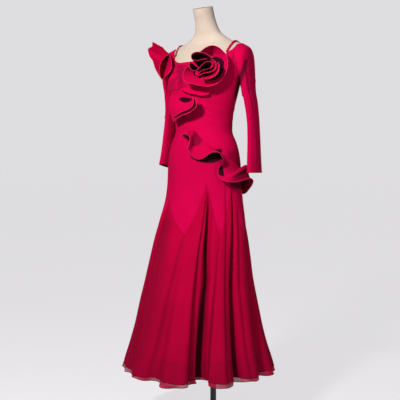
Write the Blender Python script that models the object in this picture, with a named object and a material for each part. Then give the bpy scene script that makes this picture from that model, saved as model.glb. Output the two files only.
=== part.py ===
"""Ballroom gown on a limbless dress form. Metres, +Z up, front towards -Y, wearer's left towards +X.

The origin is the centre of the round base's underside, on the pole's axis. Angles are in degrees round the
figure, from the centre front towards the wearer's left.
"""

import math

import bpy
import numpy as np

# Cloth and gaps
CLOTH = 0.0015
RUFFLE_CLOTH = 0.0014
SEAM = 0.0003
EASE = 0.0032
HIP_EASE = 0.004
HIP_EASE_TOP = 1.20
HIP_EASE_FALL = 0.08
LAID_ON = 0.0012
SLEEVE_CLEAR = 0.0005

# Levels and seams
HEM_HEIGHT = 0.260
BAND_DEPTH = 0.016
SEAM_MIDDLE = 1.145
SEAM_SLANT = 0.115
SEAM_HIGH_ANGLE = -75.0
FORM_BOTTOM = 0.935
NECK_TOP = 1.704
NECK_SLANT = 0.30

# Stand
POLE_RADIUS = 0.0125
BASE_RADIUS = 0.165
BASE_THICKNESS = 0.012
BASE_EDGE = 0.003
COLLAR_RADIUS = 0.024
COLLAR_HEIGHT = 0.040

# Armhole, an ellipse seen from the side
ARMHOLE_Y = -0.045
ARMHOLE_Z = 1.478
ARMHOLE_HALF_DEPTH = 0.058
ARMHOLE_HALF_HEIGHT = 0.078
ARMHOLE_NECK_TURN = 40.0

# The ruffles are measured in a frame that faces the front left: across it, up, and out from the body's axis
FACING = 30.0
AXIS_Y = -0.081

# Straps: half distance between them and height, at the front neckline, on the shoulder and at the back neckline
STRAP_WIDTH = 0.007
STRAP_FRONT = (0.117, 1.516)
STRAP_TOP = (0.127, 1.5685)
STRAP_BACK = (0.112, 1.520)
STRAP_RAISE = 0.0016
STRAP_SPINE_HEIGHT = 1.44
SHOULDER_LEVEL = 1.5

# How far the middles of the sewn edges of ruffles and petals lie off the bodice
PETAL_ROOT_OFF = 0.0017
CURL_ROOT_OFF = 0.0010
WAIST_RUFFLE_OFF = 0.0015
WAIST_OVERLAY_OFF = 0.0013
BACK_LEAF_OFF = 0.004


class Curve:
    """A smooth curve that never overshoots, through a table's rows. The first column is the key."""

    def __init__(self, rows):
        table = np.array(rows, float)
        self.keys = table[:, 0]
        self.values = table[:, 1:]
        steps = np.diff(self.keys)[:, None]
        rises = np.diff(self.values, axis=0) / steps
        slopes = np.zeros_like(self.values)
        product = rises[:-1] * rises[1:]
        total = rises[:-1] + rises[1:]
        slopes[1:-1] = np.where(product > 0, 2 * product / np.where(total == 0, 1, total), 0)
        slopes[0] = rises[0]
        slopes[-1] = rises[-1]
        self.slopes = slopes

    def __call__(self, key):
        i = int(np.clip(np.searchsorted(self.keys, key) - 1, 0, len(self.keys) - 2))
        step = self.keys[i + 1] - self.keys[i]
        t = float(np.clip((key - self.keys[i]) / step, 0, 1))
        start, end = self.values[i], self.values[i + 1]
        leave, arrive = self.slopes[i] * step, self.slopes[i + 1] * step
        return (
            (2 * t**3 - 3 * t**2 + 1) * start
            + (t**3 - 2 * t**2 + t) * leave
            + (3 * t**2 - 2 * t**3) * end
            + (t**3 - t**2) * arrive
        )


# Sections of the dressed figure: height, half_width, front, back, centre_x, centre_y
FIGURE = Curve(
    (
        (0.240, 0.322, 0.304, 0.310, -0.012, -0.115),
        (0.280, 0.311, 0.297, 0.303, -0.012, -0.115),
        (0.350, 0.288, 0.275, 0.281, -0.012, -0.115),
        (0.424, 0.268, 0.254, 0.258, -0.011, -0.114),
        (0.521, 0.247, 0.231, 0.236, -0.010, -0.113),
        (0.619, 0.226, 0.204, 0.212, -0.009, -0.109),
        (0.693, 0.214, 0.186, 0.196, -0.007, -0.105),
        (0.766, 0.202, 0.165, 0.177, -0.005, -0.101),
        (0.840, 0.187, 0.140, 0.152, -0.002, -0.096),
        (0.938, 0.166, 0.120, 0.134, 0.0, -0.084),
        (0.999, 0.160, 0.114, 0.128, 0.0, -0.081),
        (1.076, 0.156, 0.113, 0.123, 0.0, -0.081),
        (1.117, 0.151, 0.111, 0.118, 0.0, -0.081),
        (1.162, 0.139, 0.104, 0.107, 0.0, -0.081),
        (1.209, 0.121, 0.094, 0.096, 0.0, -0.081),
        (1.253, 0.123, 0.093, 0.095, 0.0, -0.081),
        (1.297, 0.131, 0.094, 0.095, 0.0, -0.081),
        (1.355, 0.146, 0.101, 0.099, 0.0, -0.079),
        (1.415, 0.160, 0.106, 0.104, 0.0, -0.075),
        (1.450, 0.168, 0.104, 0.102, 0.0, -0.066),
        (1.500, 0.178, 0.090, 0.095, 0.0, -0.050),
        (1.530, 0.176, 0.076, 0.088, 0.0, -0.042),
        (1.550, 0.162, 0.064, 0.078, 0.0, -0.038),
        (1.562, 0.143, 0.057, 0.070, 0.0, -0.036),
        (1.572, 0.116, 0.053, 0.064, 0.0, -0.036),
        (1.590, 0.085, 0.051, 0.057, 0.0, -0.038),
        (1.612, 0.060, 0.050, 0.052, 0.0, -0.047),
        (1.640, 0.050, 0.048, 0.048, 0.0, -0.060),
        (1.672, 0.046, 0.046, 0.046, 0.0, -0.076),
        (1.740, 0.045, 0.045, 0.045, 0.0, -0.106),
    )
)

# Skirt flutes' valleys: angle_at_top, angle_at_hem, width_before, width_after, depth_at_hem, top_height
VALLEYS = (
    (5.0, -6.0, 9.0, 10.0, 0.038, 0.900),
    (34.0, 29.0, 6.0, 12.0, 0.080, 1.000),
    (69.0, 62.0, 6.0, 9.0, 0.060, 0.970),
    (102.0, 90.0, 8.0, 10.0, 0.045, 0.900),
    (138.0, 136.0, 10.0, 9.0, 0.050, 0.930),
    (166.0, 164.0, 9.0, 11.0, 0.055, 0.930),
    (194.0, 190.0, 10.0, 9.0, 0.050, 0.900),
    (222.0, 218.0, 9.0, 10.0, 0.055, 0.930),
    (255.0, 250.0, 10.0, 9.0, 0.050, 0.900),
    (285.0, 286.0, 9.0, 10.0, 0.045, 0.920),
    (318.0, 320.0, 10.0, 9.0, 0.035, 0.860),
)

# Bust cups, from the darts: angle, height, angular_half_width, half_height, depth
CUPS = (
    (-28.0, 1.425, 21.0, 0.052, 0.020),
    (28.0, 1.425, 21.0, 0.052, 0.020),
)

# Levels of the skirt's rows up to the hip, and how many rows run on from there to the slanting seam
SKIRT_LEVELS = (HEM_HEIGHT, 0.335, 0.412, 0.490, 0.570, 0.650, 0.730, 0.800, 0.865, 0.930, 1.000)
HIP_ROWS = 4

# Flared godets below the hip gores: top_angle, top_level, then of the seam before it: point_angle, hem_angle. Each
# gore narrows to a point between two godets, and below the points the godets are sewn to each other.
GODETS = (
    (-40.0, 9, -61.0, -62.0),
    (26.0, 10, 4.0, -9.0),
    (69.0, 10, 48.0, 46.0),
    (112.0, 9, 91.0, 90.0),
    (152.0, 10, 132.0, 132.0),
    (194.0, 9, 173.0, 173.0),
    (236.0, 10, 215.0, 215.0),
    (278.0, 9, 257.0, 258.0),
)
GORE_POINT_LEVEL = 7
TIP_HALF_ANGLE = 0.15

# Front neckline, seen between the armholes: angle, height
NECK_FRONT = Curve(
    (
        (-55.0, 1.538),
        (-46.0, 1.518),
        (-38.0, 1.498),
        (-22.0, 1.482),
        (0.0, 1.484),
        (20.0, 1.490),
        (36.0, 1.504),
        (46.0, 1.519),
        (55.0, 1.538),
    )
)

# Back neckline: angle, height
NECK_BACK = Curve(
    (
        (125.0, 1.538),
        (140.0, 1.512),
        (160.0, 1.492),
        (180.0, 1.486),
        (200.0, 1.492),
        (220.0, 1.512),
        (235.0, 1.538),
    )
)

# Sleeve sections: across_x_left, across_x_right, y, z, tilt from upright, half_across, half_depth
SLEEVE = (
    (0.175, 0.175, -0.046, 1.469, 11.0, 0.067, 0.060),
    (0.180, 0.179, -0.047, 1.441, 18.0, 0.052, 0.058),
    (0.185, 0.177, -0.050, 1.402, 31.0, 0.031, 0.055),
    (0.191, 0.169, -0.053, 1.361, 61.0, 0.018, 0.051),
    (0.202, 0.166, -0.056, 1.320, 88.0, 0.016, 0.047),
    (0.211, 0.169, -0.059, 1.260, 90.0, 0.016, 0.044),
    (0.216, 0.175, -0.061, 1.180, 90.0, 0.017, 0.045),
    (0.219, 0.180, -0.064, 1.100, 90.0, 0.018, 0.050),
    (0.221, 0.185, -0.066, 1.042, 90.0, 0.019, 0.056),
)

# The right forearm hangs bent, so its cuff is higher and slants up at the front
BENT_SLEEVE_TOP = 1.26
RIGHT_CUFF_RISE = 0.026
RIGHT_CUFF_SLANT = 0.010

# Hip ruffle: root_angle, root_height, edge_across, edge_height, edge_out
HIP_RUFFLE = (
    (-10, 1.204, -0.086, 1.190, 0.118),
    (-5, 1.208, -0.071, 1.196, 0.128),
    (1, 1.208, -0.057, 1.181, 0.140),
    (6, 1.205, -0.054, 1.168, 0.146),
    (10, 1.198, -0.058, 1.148, 0.144),
    (14, 1.190, -0.062, 1.130, 0.134),
    (17, 1.181, -0.048, 1.111, 0.126),
    (21, 1.171, -0.034, 1.097, 0.128),
    (24, 1.162, -0.018, 1.094, 0.132),
    (27, 1.154, -0.003, 1.098, 0.139),
    (30, 1.147, 0.011, 1.108, 0.148),
    (33, 1.142, 0.024, 1.117, 0.157),
    (37, 1.137, 0.038, 1.122, 0.164),
    (41, 1.132, 0.053, 1.121, 0.168),
    (44, 1.127, 0.065, 1.112, 0.168),
    (48, 1.122, 0.073, 1.095, 0.163),
    (52, 1.117, 0.069, 1.076, 0.156),
    (57, 1.111, 0.056, 1.056, 0.152),
    (62, 1.104, 0.053, 1.038, 0.151),
    (67, 1.097, 0.060, 1.022, 0.154),
    (72, 1.090, 0.076, 1.012, 0.158),
    (77, 1.083, 0.096, 1.007, 0.160),
    (82, 1.076, 0.118, 1.006, 0.158),
    (88, 1.069, 0.140, 1.010, 0.153),
    (94, 1.062, 0.162, 1.016, 0.144),
    (100, 1.055, 0.182, 1.020, 0.128),
    (107, 1.048, 0.193, 1.013, 0.106),
    (114, 1.042, 0.192, 0.995, 0.082),
    (122, 1.036, 0.181, 0.976, 0.058),
    (131, 1.032, 0.170, 0.960, 0.030),
    (140, 1.030, 0.160, 0.955, -0.002),
    (150, 1.030, 0.138, 0.966, -0.040),
)

# Waist ruffle, lower layer: root_angle, root_height, edge_across, edge_height, edge_out
WAIST_RUFFLE = (
    (-56, 1.346, -0.121, 1.243, 0.060),
    (-42, 1.342, -0.106, 1.255, 0.086),
    (-31, 1.338, -0.088, 1.264, 0.108),
    (-22, 1.335, -0.063, 1.272, 0.128),
    (-14, 1.332, -0.043, 1.283, 0.142),
    (-8, 1.330, -0.031, 1.295, 0.150),
    (-3, 1.328, -0.027, 1.309, 0.152),
    (2, 1.325, -0.030, 1.322, 0.148),
    (7, 1.321, -0.034, 1.332, 0.140),
)

# Waist ruffle, upper layer: same columns
WAIST_OVERLAY = (
    (-54, 1.357, -0.122, 1.262, 0.072),
    (-42, 1.353, -0.108, 1.267, 0.100),
    (-31, 1.350, -0.094, 1.275, 0.120),
    (-23, 1.347, -0.074, 1.282, 0.138),
    (-16, 1.343, -0.057, 1.289, 0.151),
    (-10, 1.340, -0.046, 1.298, 0.160),
    (-6, 1.338, -0.040, 1.310, 0.162),
    (-2, 1.335, -0.041, 1.323, 0.158),
    (2, 1.332, -0.043, 1.334, 0.149),
)

# Shoulder ruffle, back leaf: root_angle, root_height, edge_across, edge_height, edge_out
BACK_LEAF = (
    (-52, 1.524, -0.166, 1.548, -0.010),
    (-51, 1.519, -0.184, 1.558, -0.010),
    (-50, 1.513, -0.206, 1.569, -0.006),
    (-50, 1.506, -0.207, 1.552, 0.006),
    (-50, 1.498, -0.226, 1.541, -0.010),
    (-50, 1.490, -0.220, 1.515, -0.004),
    (-50, 1.481, -0.206, 1.493, 0.010),
    (-51, 1.471, -0.196, 1.462, 0.016),
    (-52, 1.460, -0.184, 1.439, 0.022),
    (-53, 1.448, -0.168, 1.414, 0.030),
)

# Shoulder ruffle, front leaf, a trough whose fold is sewn along the back leaf: left_across, left_height, left_out,
# share of the back leaf's depth where the fold lies, right_across, right_height, right_out
FRONT_LEAF = (
    (-0.147, 1.519, -0.012, 0.16, -0.138, 1.517, -0.010),
    (-0.161, 1.500, 0.022, 0.18, -0.132, 1.497, 0.026),
    (-0.170, 1.482, 0.044, 0.22, -0.128, 1.480, 0.048),
    (-0.176, 1.463, 0.056, 0.32, -0.127, 1.461, 0.058),
    (-0.177, 1.443, 0.060, 0.52, -0.136, 1.441, 0.060),
    (-0.172, 1.420, 0.050, 0.86, -0.155, 1.422, 0.050),
)
BACK_LEAF_COLUMNS = 14
BACK_LEAF_BOW = 0.004

# Rose, outer petal's rim: across, height, out, rise (over 1 hollow, under 1 domed)
ROSE_CENTRE = (-0.005, 1.443)
ROSE_OUTER = (
    (-0.026, 1.496, 0.148, 1.5),
    (-0.010, 1.509, 0.156, 1.8),
    (0.011, 1.523, 0.158, 2.0),
    (0.032, 1.529, 0.158, 2.2),
    (0.050, 1.525, 0.156, 2.4),
    (0.068, 1.513, 0.152, 2.6),
    (0.084, 1.495, 0.148, 2.6),
    (0.092, 1.472, 0.145, 2.6),
    (0.090, 1.445, 0.146, 2.6),
    (0.080, 1.418, 0.150, 2.4),
    (0.062, 1.394, 0.156, 2.0),
    (0.040, 1.379, 0.161, 1.5),
    (0.014, 1.372, 0.165, 1.1),
    (-0.013, 1.375, 0.167, 0.9),
    (-0.046, 1.383, 0.162, 0.8),
    (-0.076, 1.394, 0.146, 0.8),
    (-0.082, 1.414, 0.136, 0.8),
    (-0.077, 1.436, 0.134, 0.9),
    (-0.064, 1.450, 0.138, 1.0),
)

# Rose, standing curls' free edges: across, height
ROSE_CURLS = {
    "rose_upper_curl": (
        (0.033, 1.478),
        (0.016, 1.489),
        (-0.006, 1.498),
        (-0.026, 1.500),
        (-0.042, 1.495),
        (-0.049, 1.484),
        (-0.046, 1.473),
        (-0.027, 1.468),
        (-0.006, 1.472),
        (0.012, 1.475),
    ),
    "rose_middle_curl": (
        (0.026, 1.473),
        (0.040, 1.466),
        (0.047, 1.455),
        (0.046, 1.441),
        (0.038, 1.430),
        (0.023, 1.424),
        (0.002, 1.420),
        (-0.018, 1.412),
    ),
    "rose_inner_curl": (
        (-0.053, 1.463),
        (-0.056, 1.448),
        (-0.050, 1.435),
        (-0.038, 1.429),
        (-0.026, 1.433),
        (-0.013, 1.446),
        (0.000, 1.458),
        (0.014, 1.464),
        (0.027, 1.463),
        (0.034, 1.455),
        (0.031, 1.444),
        (0.015, 1.436),
        (-0.006, 1.431),
        (-0.018, 1.422),
    ),
    "rose_lower_curl": (
        (0.053, 1.462),
        (0.058, 1.448),
        (0.057, 1.434),
        (0.049, 1.417),
        (0.032, 1.404),
        (0.009, 1.398),
        (-0.013, 1.398),
    ),
}
PETAL_ROOT_SCALE = 0.40
CURL_ROOT_SCALE = 0.33
CURL_EDGE_OUT = 0.186

# Strip under the rose: across and height of its upper edge, then of its lower edge
BAND_OFF_TOP = 0.0037
BAND_OFF_FOOT = 0.018
ROSE_BAND = (
    (-0.080, 1.378, -0.082, 1.372),
    (-0.062, 1.376, -0.064, 1.360),
    (-0.045, 1.372, -0.047, 1.352),
    (-0.024, 1.368, -0.026, 1.346),
    (-0.003, 1.365, -0.004, 1.341),
    (0.022, 1.364, 0.020, 1.346),
)

# Gathered drape over the wearer's right cup: angle, upper_height, lower_height
DRAPE = (
    (-62.0, 1.462, 1.372),
    (-50.0, 1.478, 1.366),
    (-38.0, 1.484, 1.364),
    (-26.0, 1.474, 1.366),
    (-14.0, 1.470, 1.372),
    (-4.0, 1.470, 1.384),
)
DRAPE_FOLDS = 6
DRAPE_FOLD_HEIGHT = 0.0022

# Levels of the form's rings under its neck cap, and how its foot is rounded
FORM_LEVELS = (
    (FORM_BOTTOM, 0.945, 0.975, 1.02, 1.076, 1.117, 1.162, 1.19, 1.215, 1.253, 1.297, 1.34, 1.38)
    + (1.415, 1.45, 1.48, 1.505, 1.53, 1.545, 1.556, 1.565, 1.573, 1.583, 1.598, 1.615, 1.64, 1.672, 1.70)
)
FOOT_ROUND_TOP = 0.96
FOOT_ROUND_INSET = 0.018
NECK_SLANT_START = 1.64
NECK_SLANT_RISE = 0.06

HALVINGS = 40

# Colours: base colour, roughness, metallic
LOOKS = {
    "crimson": ((0.62, 0.005, 0.075, 1.0), 0.65, 0.0),
    "crimson_dark": ((0.36, 0.005, 0.045, 1.0), 0.7, 0.0),
    "organza": ((0.70, 0.05, 0.16, 1.0), 0.5, 0.0),
    "linen": ((0.80, 0.68, 0.52, 1.0), 0.7, 0.0),
    "black_steel": ((0.02, 0.02, 0.022, 1.0), 0.4, 0.8),
}


def wrapped(angle):
    return (angle + 180.0) % 360.0 - 180.0


def eased(t):
    t = min(max(t, 0.0), 1.0)
    return t * t * (3 - 2 * t)


def skirt_valley(angle, height):
    """How far the skirt falls in at this angle and height, in the valleys between its flutes."""
    depth = 0.0
    for top_angle, hem_angle, before, after, at_hem, top in VALLEYS:
        share = (top - height) / (top - HEM_HEIGHT)
        if share <= 0:
            continue
        centre = top_angle + (hem_angle - top_angle) * share
        turn = wrapped(angle - centre)
        width = before if turn < 0 else after
        depth += at_hem * share**1.25 * math.exp(-((turn / width) ** 2))
    return depth


def cup_rise(angle, height):
    rise = 0.0
    for cup_angle, cup_height, half_angle, half_height, depth in CUPS:
        turn = wrapped(angle - cup_angle) / half_angle
        lift = (height - cup_height) / half_height
        rise += depth * math.exp(-turn * turn - lift * lift)
    return rise


def on_figure(angle, height, off=0.0):
    """A point on the dressed figure, or off it along its section."""
    half_width, front, back, centre_x, centre_y = FIGURE(height)
    side, ahead = math.sin(math.radians(angle)), math.cos(math.radians(angle))
    grow = off + cup_rise(angle, height) - skirt_valley(angle, height)
    depth = front if ahead > 0 else back
    return np.array((centre_x + (half_width + grow) * side, centre_y - (depth + grow) * ahead, height))


def figure_normal(angle, height):
    turn, rise = 0.5, 0.002
    round_it = on_figure(angle + turn, height) - on_figure(angle - turn, height)
    up_it = on_figure(angle, height + rise) - on_figure(angle, height - rise)
    normal = np.cross(round_it, up_it)
    return normal / np.linalg.norm(normal)


def faced(across, height, out):
    """A point in the ruffles' frame, which faces the front left."""
    turn = math.radians(FACING)
    x = across * math.cos(turn) + out * math.sin(turn)
    y = AXIS_Y + across * math.sin(turn) - out * math.cos(turn)
    return np.array((x, y, height))


def angle_facing(across, height):
    """The figure's angle whose point lies this far across the ruffles' frame, on the side that it faces."""
    turn = math.radians(FACING)
    low, high = FACING - 88.0, FACING + 88.0
    for _ in range(HALVINGS):
        middle = (low + high) / 2
        point = on_figure(middle, height)
        reach = point[0] * math.cos(turn) + (point[1] - AXIS_Y) * math.sin(turn)
        if reach < across:
            low = middle
        else:
            high = middle
    return (low + high) / 2


def seam_height(angle):
    """The slanting waist seam, high on the wearer's right and low on the left hip."""
    return SEAM_MIDDLE + SEAM_SLANT * math.cos(math.radians(angle - SEAM_HIGH_ANGLE))


def material(name):
    made = bpy.data.materials.get(name)
    if made is None:
        colour, roughness, metallic = LOOKS[name]
        made = bpy.data.materials.new(name)
        made.use_nodes = True
        shader = made.node_tree.nodes["Principled BSDF"]
        shader.inputs["Base Color"].default_value = colour
        shader.inputs["Roughness"].default_value = roughness
        shader.inputs["Metallic"].default_value = metallic
    return made


def add_solid(name, points, faces, look):
    mesh = bpy.data.meshes.new(name)
    mesh.from_pydata([tuple(p) for p in points], [], faces)
    mesh.update()
    solid = bpy.data.objects.new(name, mesh)
    mesh.materials.append(material(look))
    GOWN.objects.link(solid)
    return solid


def wall(name, outer, inner, look, closed=False):
    """A closed wall between two grids of points. The grids' columns run to the wearer's left, their rows up."""
    rows, columns = outer.shape[:2]
    points = np.concatenate([outer.reshape(-1, 3), inner.reshape(-1, 3)])
    back = rows * columns
    faces = []
    spans = columns if closed else columns - 1
    for i in range(rows - 1):
        for j in range(spans):
            a, b = i * columns + j, i * columns + (j + 1) % columns
            c, d = b + columns, a + columns
            faces.append((a, b, c, d))
            faces.append((back + a, back + d, back + c, back + b))
    top = (rows - 1) * columns
    for j in range(spans):
        k = (j + 1) % columns
        faces.append((j, back + j, back + k, k))
        faces.append((top + j, top + k, back + top + k, back + top + j))
    if not closed:
        for i in range(rows - 1):
            a, b = i * columns, (i + 1) * columns
            faces.append((a, b, back + b, back + a))
            a, b = a + columns - 1, b + columns - 1
            faces.append((a, back + a, back + b, b))
    return add_solid(name, points, faces, look)


def panel(name, angles, heights, look, off=0.0, cloth=CLOTH, closed=False, lift=None):
    """A wall that follows the figure: its outer face is off it by this much, and lift raises single points."""
    rows, columns = len(heights), len(heights[0])
    outer = np.zeros((rows, columns, 3))
    inner = np.zeros((rows, columns, 3))
    for i in range(rows):
        for j in range(columns):
            angle, height = angles[i][j], heights[i][j]
            raised = lift(angle, height) if lift else 0.0
            normal = figure_normal(angle, height)
            point = on_figure(angle, height)
            outer[i, j] = point + normal * (off + raised)
            inner[i, j] = point + normal * (off - cloth)
    return wall(name, outer, inner, look, closed)


def sheet(name, grid, look, cloth=RUFFLE_CLOTH, closed=False):
    """A wall half to each side of a grid of points."""
    along = np.gradient(grid, axis=1)
    if closed:
        along = (np.roll(grid, -1, axis=1) - np.roll(grid, 1, axis=1)) / 2
    normal = np.cross(along, np.gradient(grid, axis=0))
    normal /= np.linalg.norm(normal, axis=2, keepdims=True)
    return wall(name, grid + normal * cloth / 2, grid - normal * cloth / 2, look, closed)


def resampled(points, count):
    """The points joined by a smooth curve and spaced evenly along it."""
    points = np.array(points, float)
    along = np.concatenate([[0.0], np.cumsum(np.linalg.norm(np.diff(points[:, :3], axis=0), axis=1))])
    curve = Curve(np.column_stack([along, points]))
    return np.array([curve(s) for s in np.linspace(0.0, along[-1], count)])


def turned(edge_length, angle, height):
    """The angle that covers this length round the figure."""
    step = np.linalg.norm(on_figure(angle + 0.5, height) - on_figure(angle - 0.5, height))
    return edge_length / step


def armhole_point(turn, side, off):
    """A point of the armhole, on the figure's side or off it. Turn 0 is its top, 90 its front, 180 the armpit."""
    y = ARMHOLE_Y - ARMHOLE_HALF_DEPTH * math.sin(math.radians(turn))
    z = ARMHOLE_Z + ARMHOLE_HALF_HEIGHT * math.cos(math.radians(turn))
    angle = armhole_angle(turn)
    point = on_figure(angle, z, off)
    return np.array((side * point[0], y, z))


def armhole_angle(turn):
    """The figure's angle, on the wearer's left, at this place of the armhole."""
    y = ARMHOLE_Y - ARMHOLE_HALF_DEPTH * math.sin(math.radians(turn))
    z = ARMHOLE_Z + ARMHOLE_HALF_HEIGHT * math.cos(math.radians(turn))
    low, high = 1.0, 179.0
    for _ in range(HALVINGS):
        middle = (low + high) / 2
        if on_figure(middle, z)[1] < y:
            low = middle
        else:
            high = middle
    return (low + high) / 2


def bodice(name, neckline, first_side, middle_columns, armhole_columns, rows, look):
    """Front or back panel: its upper edge runs up one armhole, along the neckline and down the other."""
    front = first_side < 0
    centre = 0.0 if front else 180.0
    sense = 1.0 if front else -1.0
    turns = np.linspace(180.0, ARMHOLE_NECK_TURN, armhole_columns + 1) * sense
    half = []
    for turn in turns:
        z = ARMHOLE_Z + ARMHOLE_HALF_HEIGHT * math.cos(math.radians(turn))
        half.append((armhole_angle(turn), z))
    neck_angle = half[-1][0]
    reach = abs(wrapped(neck_angle - centre))
    start, end = neckline.keys[0], neckline.keys[-1]
    top = []
    for angle, z in half:
        top.append((-abs(wrapped(angle - centre)), z))
    for share in np.linspace(-1.0, 1.0, middle_columns + 1)[1:-1]:
        key = (start + end) / 2 + share * (end - start) / 2
        top.append((share * reach, float(neckline(key)[0])))
    for angle, z in reversed(half):
        top.append((abs(wrapped(angle - centre)), z))
    columns = len(top)
    bottoms = np.linspace(-90.0, 90.0, columns)
    angles, heights = [], []
    for i in range(rows + 1):
        share = i / rows
        row_angles, row_heights = [], []
        for j, (top_angle, top_z) in enumerate(top):
            lean = eased((share - 0.35) / 0.65)
            angle = centre + bottoms[j] + (top_angle - bottoms[j]) * lean
            low = seam_height(angle) + SEAM
            height = low + (top_z - low) * share
            if j in (0, columns - 1):
                inwards = 1.0 if j == 0 else -1.0
                angle += inwards * turned(SEAM / 2, angle, height)
            row_angles.append(angle)
            row_heights.append(height)
        angles.append(row_angles)
        heights.append(row_heights)
    return panel(name, angles, heights, look)


def seam_after_point(index, height):
    """Angle of the seam between two godets, from the point of the gore above it down to the hem."""
    point_angle, hem_angle = GODETS[index % len(GODETS)][2:]
    point = SKIRT_LEVELS[GORE_POINT_LEVEL]
    angle = point_angle + (hem_angle - point_angle) * (point - height) / (point - HEM_HEIGHT)
    return angle + 360.0 * (index // len(GODETS))


def godet_edges(index, height):
    """Angles of a godet's two seams at this height. Above its top both seams are one."""
    top_angle, top_level = GODETS[index][:2]
    top_angle += 360.0 * (index // len(GODETS))
    top, point = SKIRT_LEVELS[top_level], SKIRT_LEVELS[GORE_POINT_LEVEL]
    if height > top:
        return top_angle, top_angle
    if height < point:
        return seam_after_point(index, height), seam_after_point(index + 1, height)
    share = (top - height) / (top - point)
    edges = []
    for side, seam in ((-1, index), (1, index + 1)):
        start = top_angle + side * TIP_HALF_ANGLE
        end = seam_after_point(seam, point) - side * TIP_HALF_ANGLE
        edges.append(start + (end - start) * share)
    return tuple(edges)


def gore_point(index, across, level, hip_share):
    """Angle and height in a gore: at a level of the skirt, or at a share of the way from the hip to the seam."""
    height = level
    for _ in range(4):
        left, right = godet_edges(index - 1, height)[1], godet_edges(index, height)[0]
        angle = left + (right - left) * across
        height = level + (seam_height(angle) - SEAM / 2 - level) * hip_share
    return angle, height


def make_gore(index, columns):
    """A hip panel: it hangs from the slanting seam and narrows to a point between two godets."""
    levels = [(level, 0.0) for level in SKIRT_LEVELS[GORE_POINT_LEVEL:]]
    levels += [(SKIRT_LEVELS[-1], i / HIP_ROWS) for i in range(1, HIP_ROWS + 1)]
    angles, heights = [], []
    for level, hip_share in levels:
        row_angles, row_heights = [], []
        for j in range(columns + 1):
            angle, height = gore_point(index, j / columns, level, hip_share)
            if j == 0:
                angle += turned(SEAM / 2, angle, height)
            if j == columns:
                angle -= turned(SEAM / 2, angle, height)
            row_angles.append(angle)
            row_heights.append(height)
        angles.append(row_angles)
        heights.append(row_heights)
    return panel(f"gore_{index + 1}", angles, heights, "crimson")


def make_godet(index, columns):
    angles, heights = [], []
    for height in SKIRT_LEVELS[: GODETS[index][1] + 1]:
        left, right = godet_edges(index, height)
        left += turned(SEAM / 2, left, height)
        right -= turned(SEAM / 2, right, height)
        angles.append([left + (right - left) * j / columns for j in range(columns + 1)])
        heights.append([height] * (columns + 1))
    return panel(f"godet_{index + 1}", angles, heights, "crimson")


def make_hem_band(columns):
    """The sheer strip under the hem, one ring all round."""
    low, high = HEM_HEIGHT - BAND_DEPTH, HEM_HEIGHT - 2 * SEAM
    round_it = [360.0 * j / columns for j in range(columns)]
    return panel("hem_band", [round_it, round_it], [[low] * columns, [high] * columns], "organza", closed=True)


def sleeve_bend(side, height):
    """How far a sleeve's section takes part in the bend of the right forearm: 0 for none, 1 at the cuff."""
    if side > 0:
        return 0.0
    return min(max((BENT_SLEEVE_TOP - height) / (BENT_SLEEVE_TOP - SLEEVE[-1][3]), 0.0), 1.0)


def make_sleeve(name, side, columns):
    """A sleeve from the armhole to the cuff, a hollow tube that hangs beside the body."""
    turns = [360.0 * j / columns for j in range(columns)]
    rings = [[armhole_point(turn, side, SEAM + CLOTH + SLEEVE_CLEAR) for turn in turns]]
    for left_x, right_x, y, z, tilt, across, depth in SLEEVE:
        centre_x = left_x if side > 0 else right_x
        lean = math.radians(tilt)
        bend = sleeve_bend(side, z)
        ring = []
        for turn in turns:
            up = across * math.cos(math.radians(turn))
            ahead = math.sin(math.radians(turn))
            rise = (RIGHT_CUFF_RISE + RIGHT_CUFF_SLANT * ahead) * bend
            x = centre_x + up * math.sin(lean)
            ring.append(np.array((side * x, y - depth * ahead, z + up * math.cos(lean) + rise)))
        rings.append(ring)
    grid = np.array(rings)
    if side < 0:
        grid = grid[:, ::-1]
    return sheet(name, grid[::-1], "crimson", CLOTH, closed=True)


def ribbon(roots, edges, count, across=4, bow=0.0):
    """A flounce's points between a root line and a free edge, bowed outwards from the body."""
    line = resampled(np.hstack([roots, edges]), count)
    roots, edges = line[:, :3], line[:, 3:6]
    centre = np.array((0.0, AXIS_Y, 0.0))
    grid = np.zeros((across + 1, count, 3))
    for i in range(across + 1):
        share = i / across
        row = roots + (edges - roots) * share
        outward = (row - centre) * np.array((1.0, 1.0, 0.0))
        outward /= np.linalg.norm(outward, axis=1, keepdims=True)
        grid[i] = row + outward * bow * math.sin(math.pi * share)
    return grid


def ruffle_points(rows, count, off=LAID_ON, bow=0.0):
    roots = [on_figure(angle, height, off) for angle, height, *_ in rows]
    edges = [faced(*row[2:5]) for row in rows]
    return ribbon(np.array(roots), np.array(edges), count, bow=bow)


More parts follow.
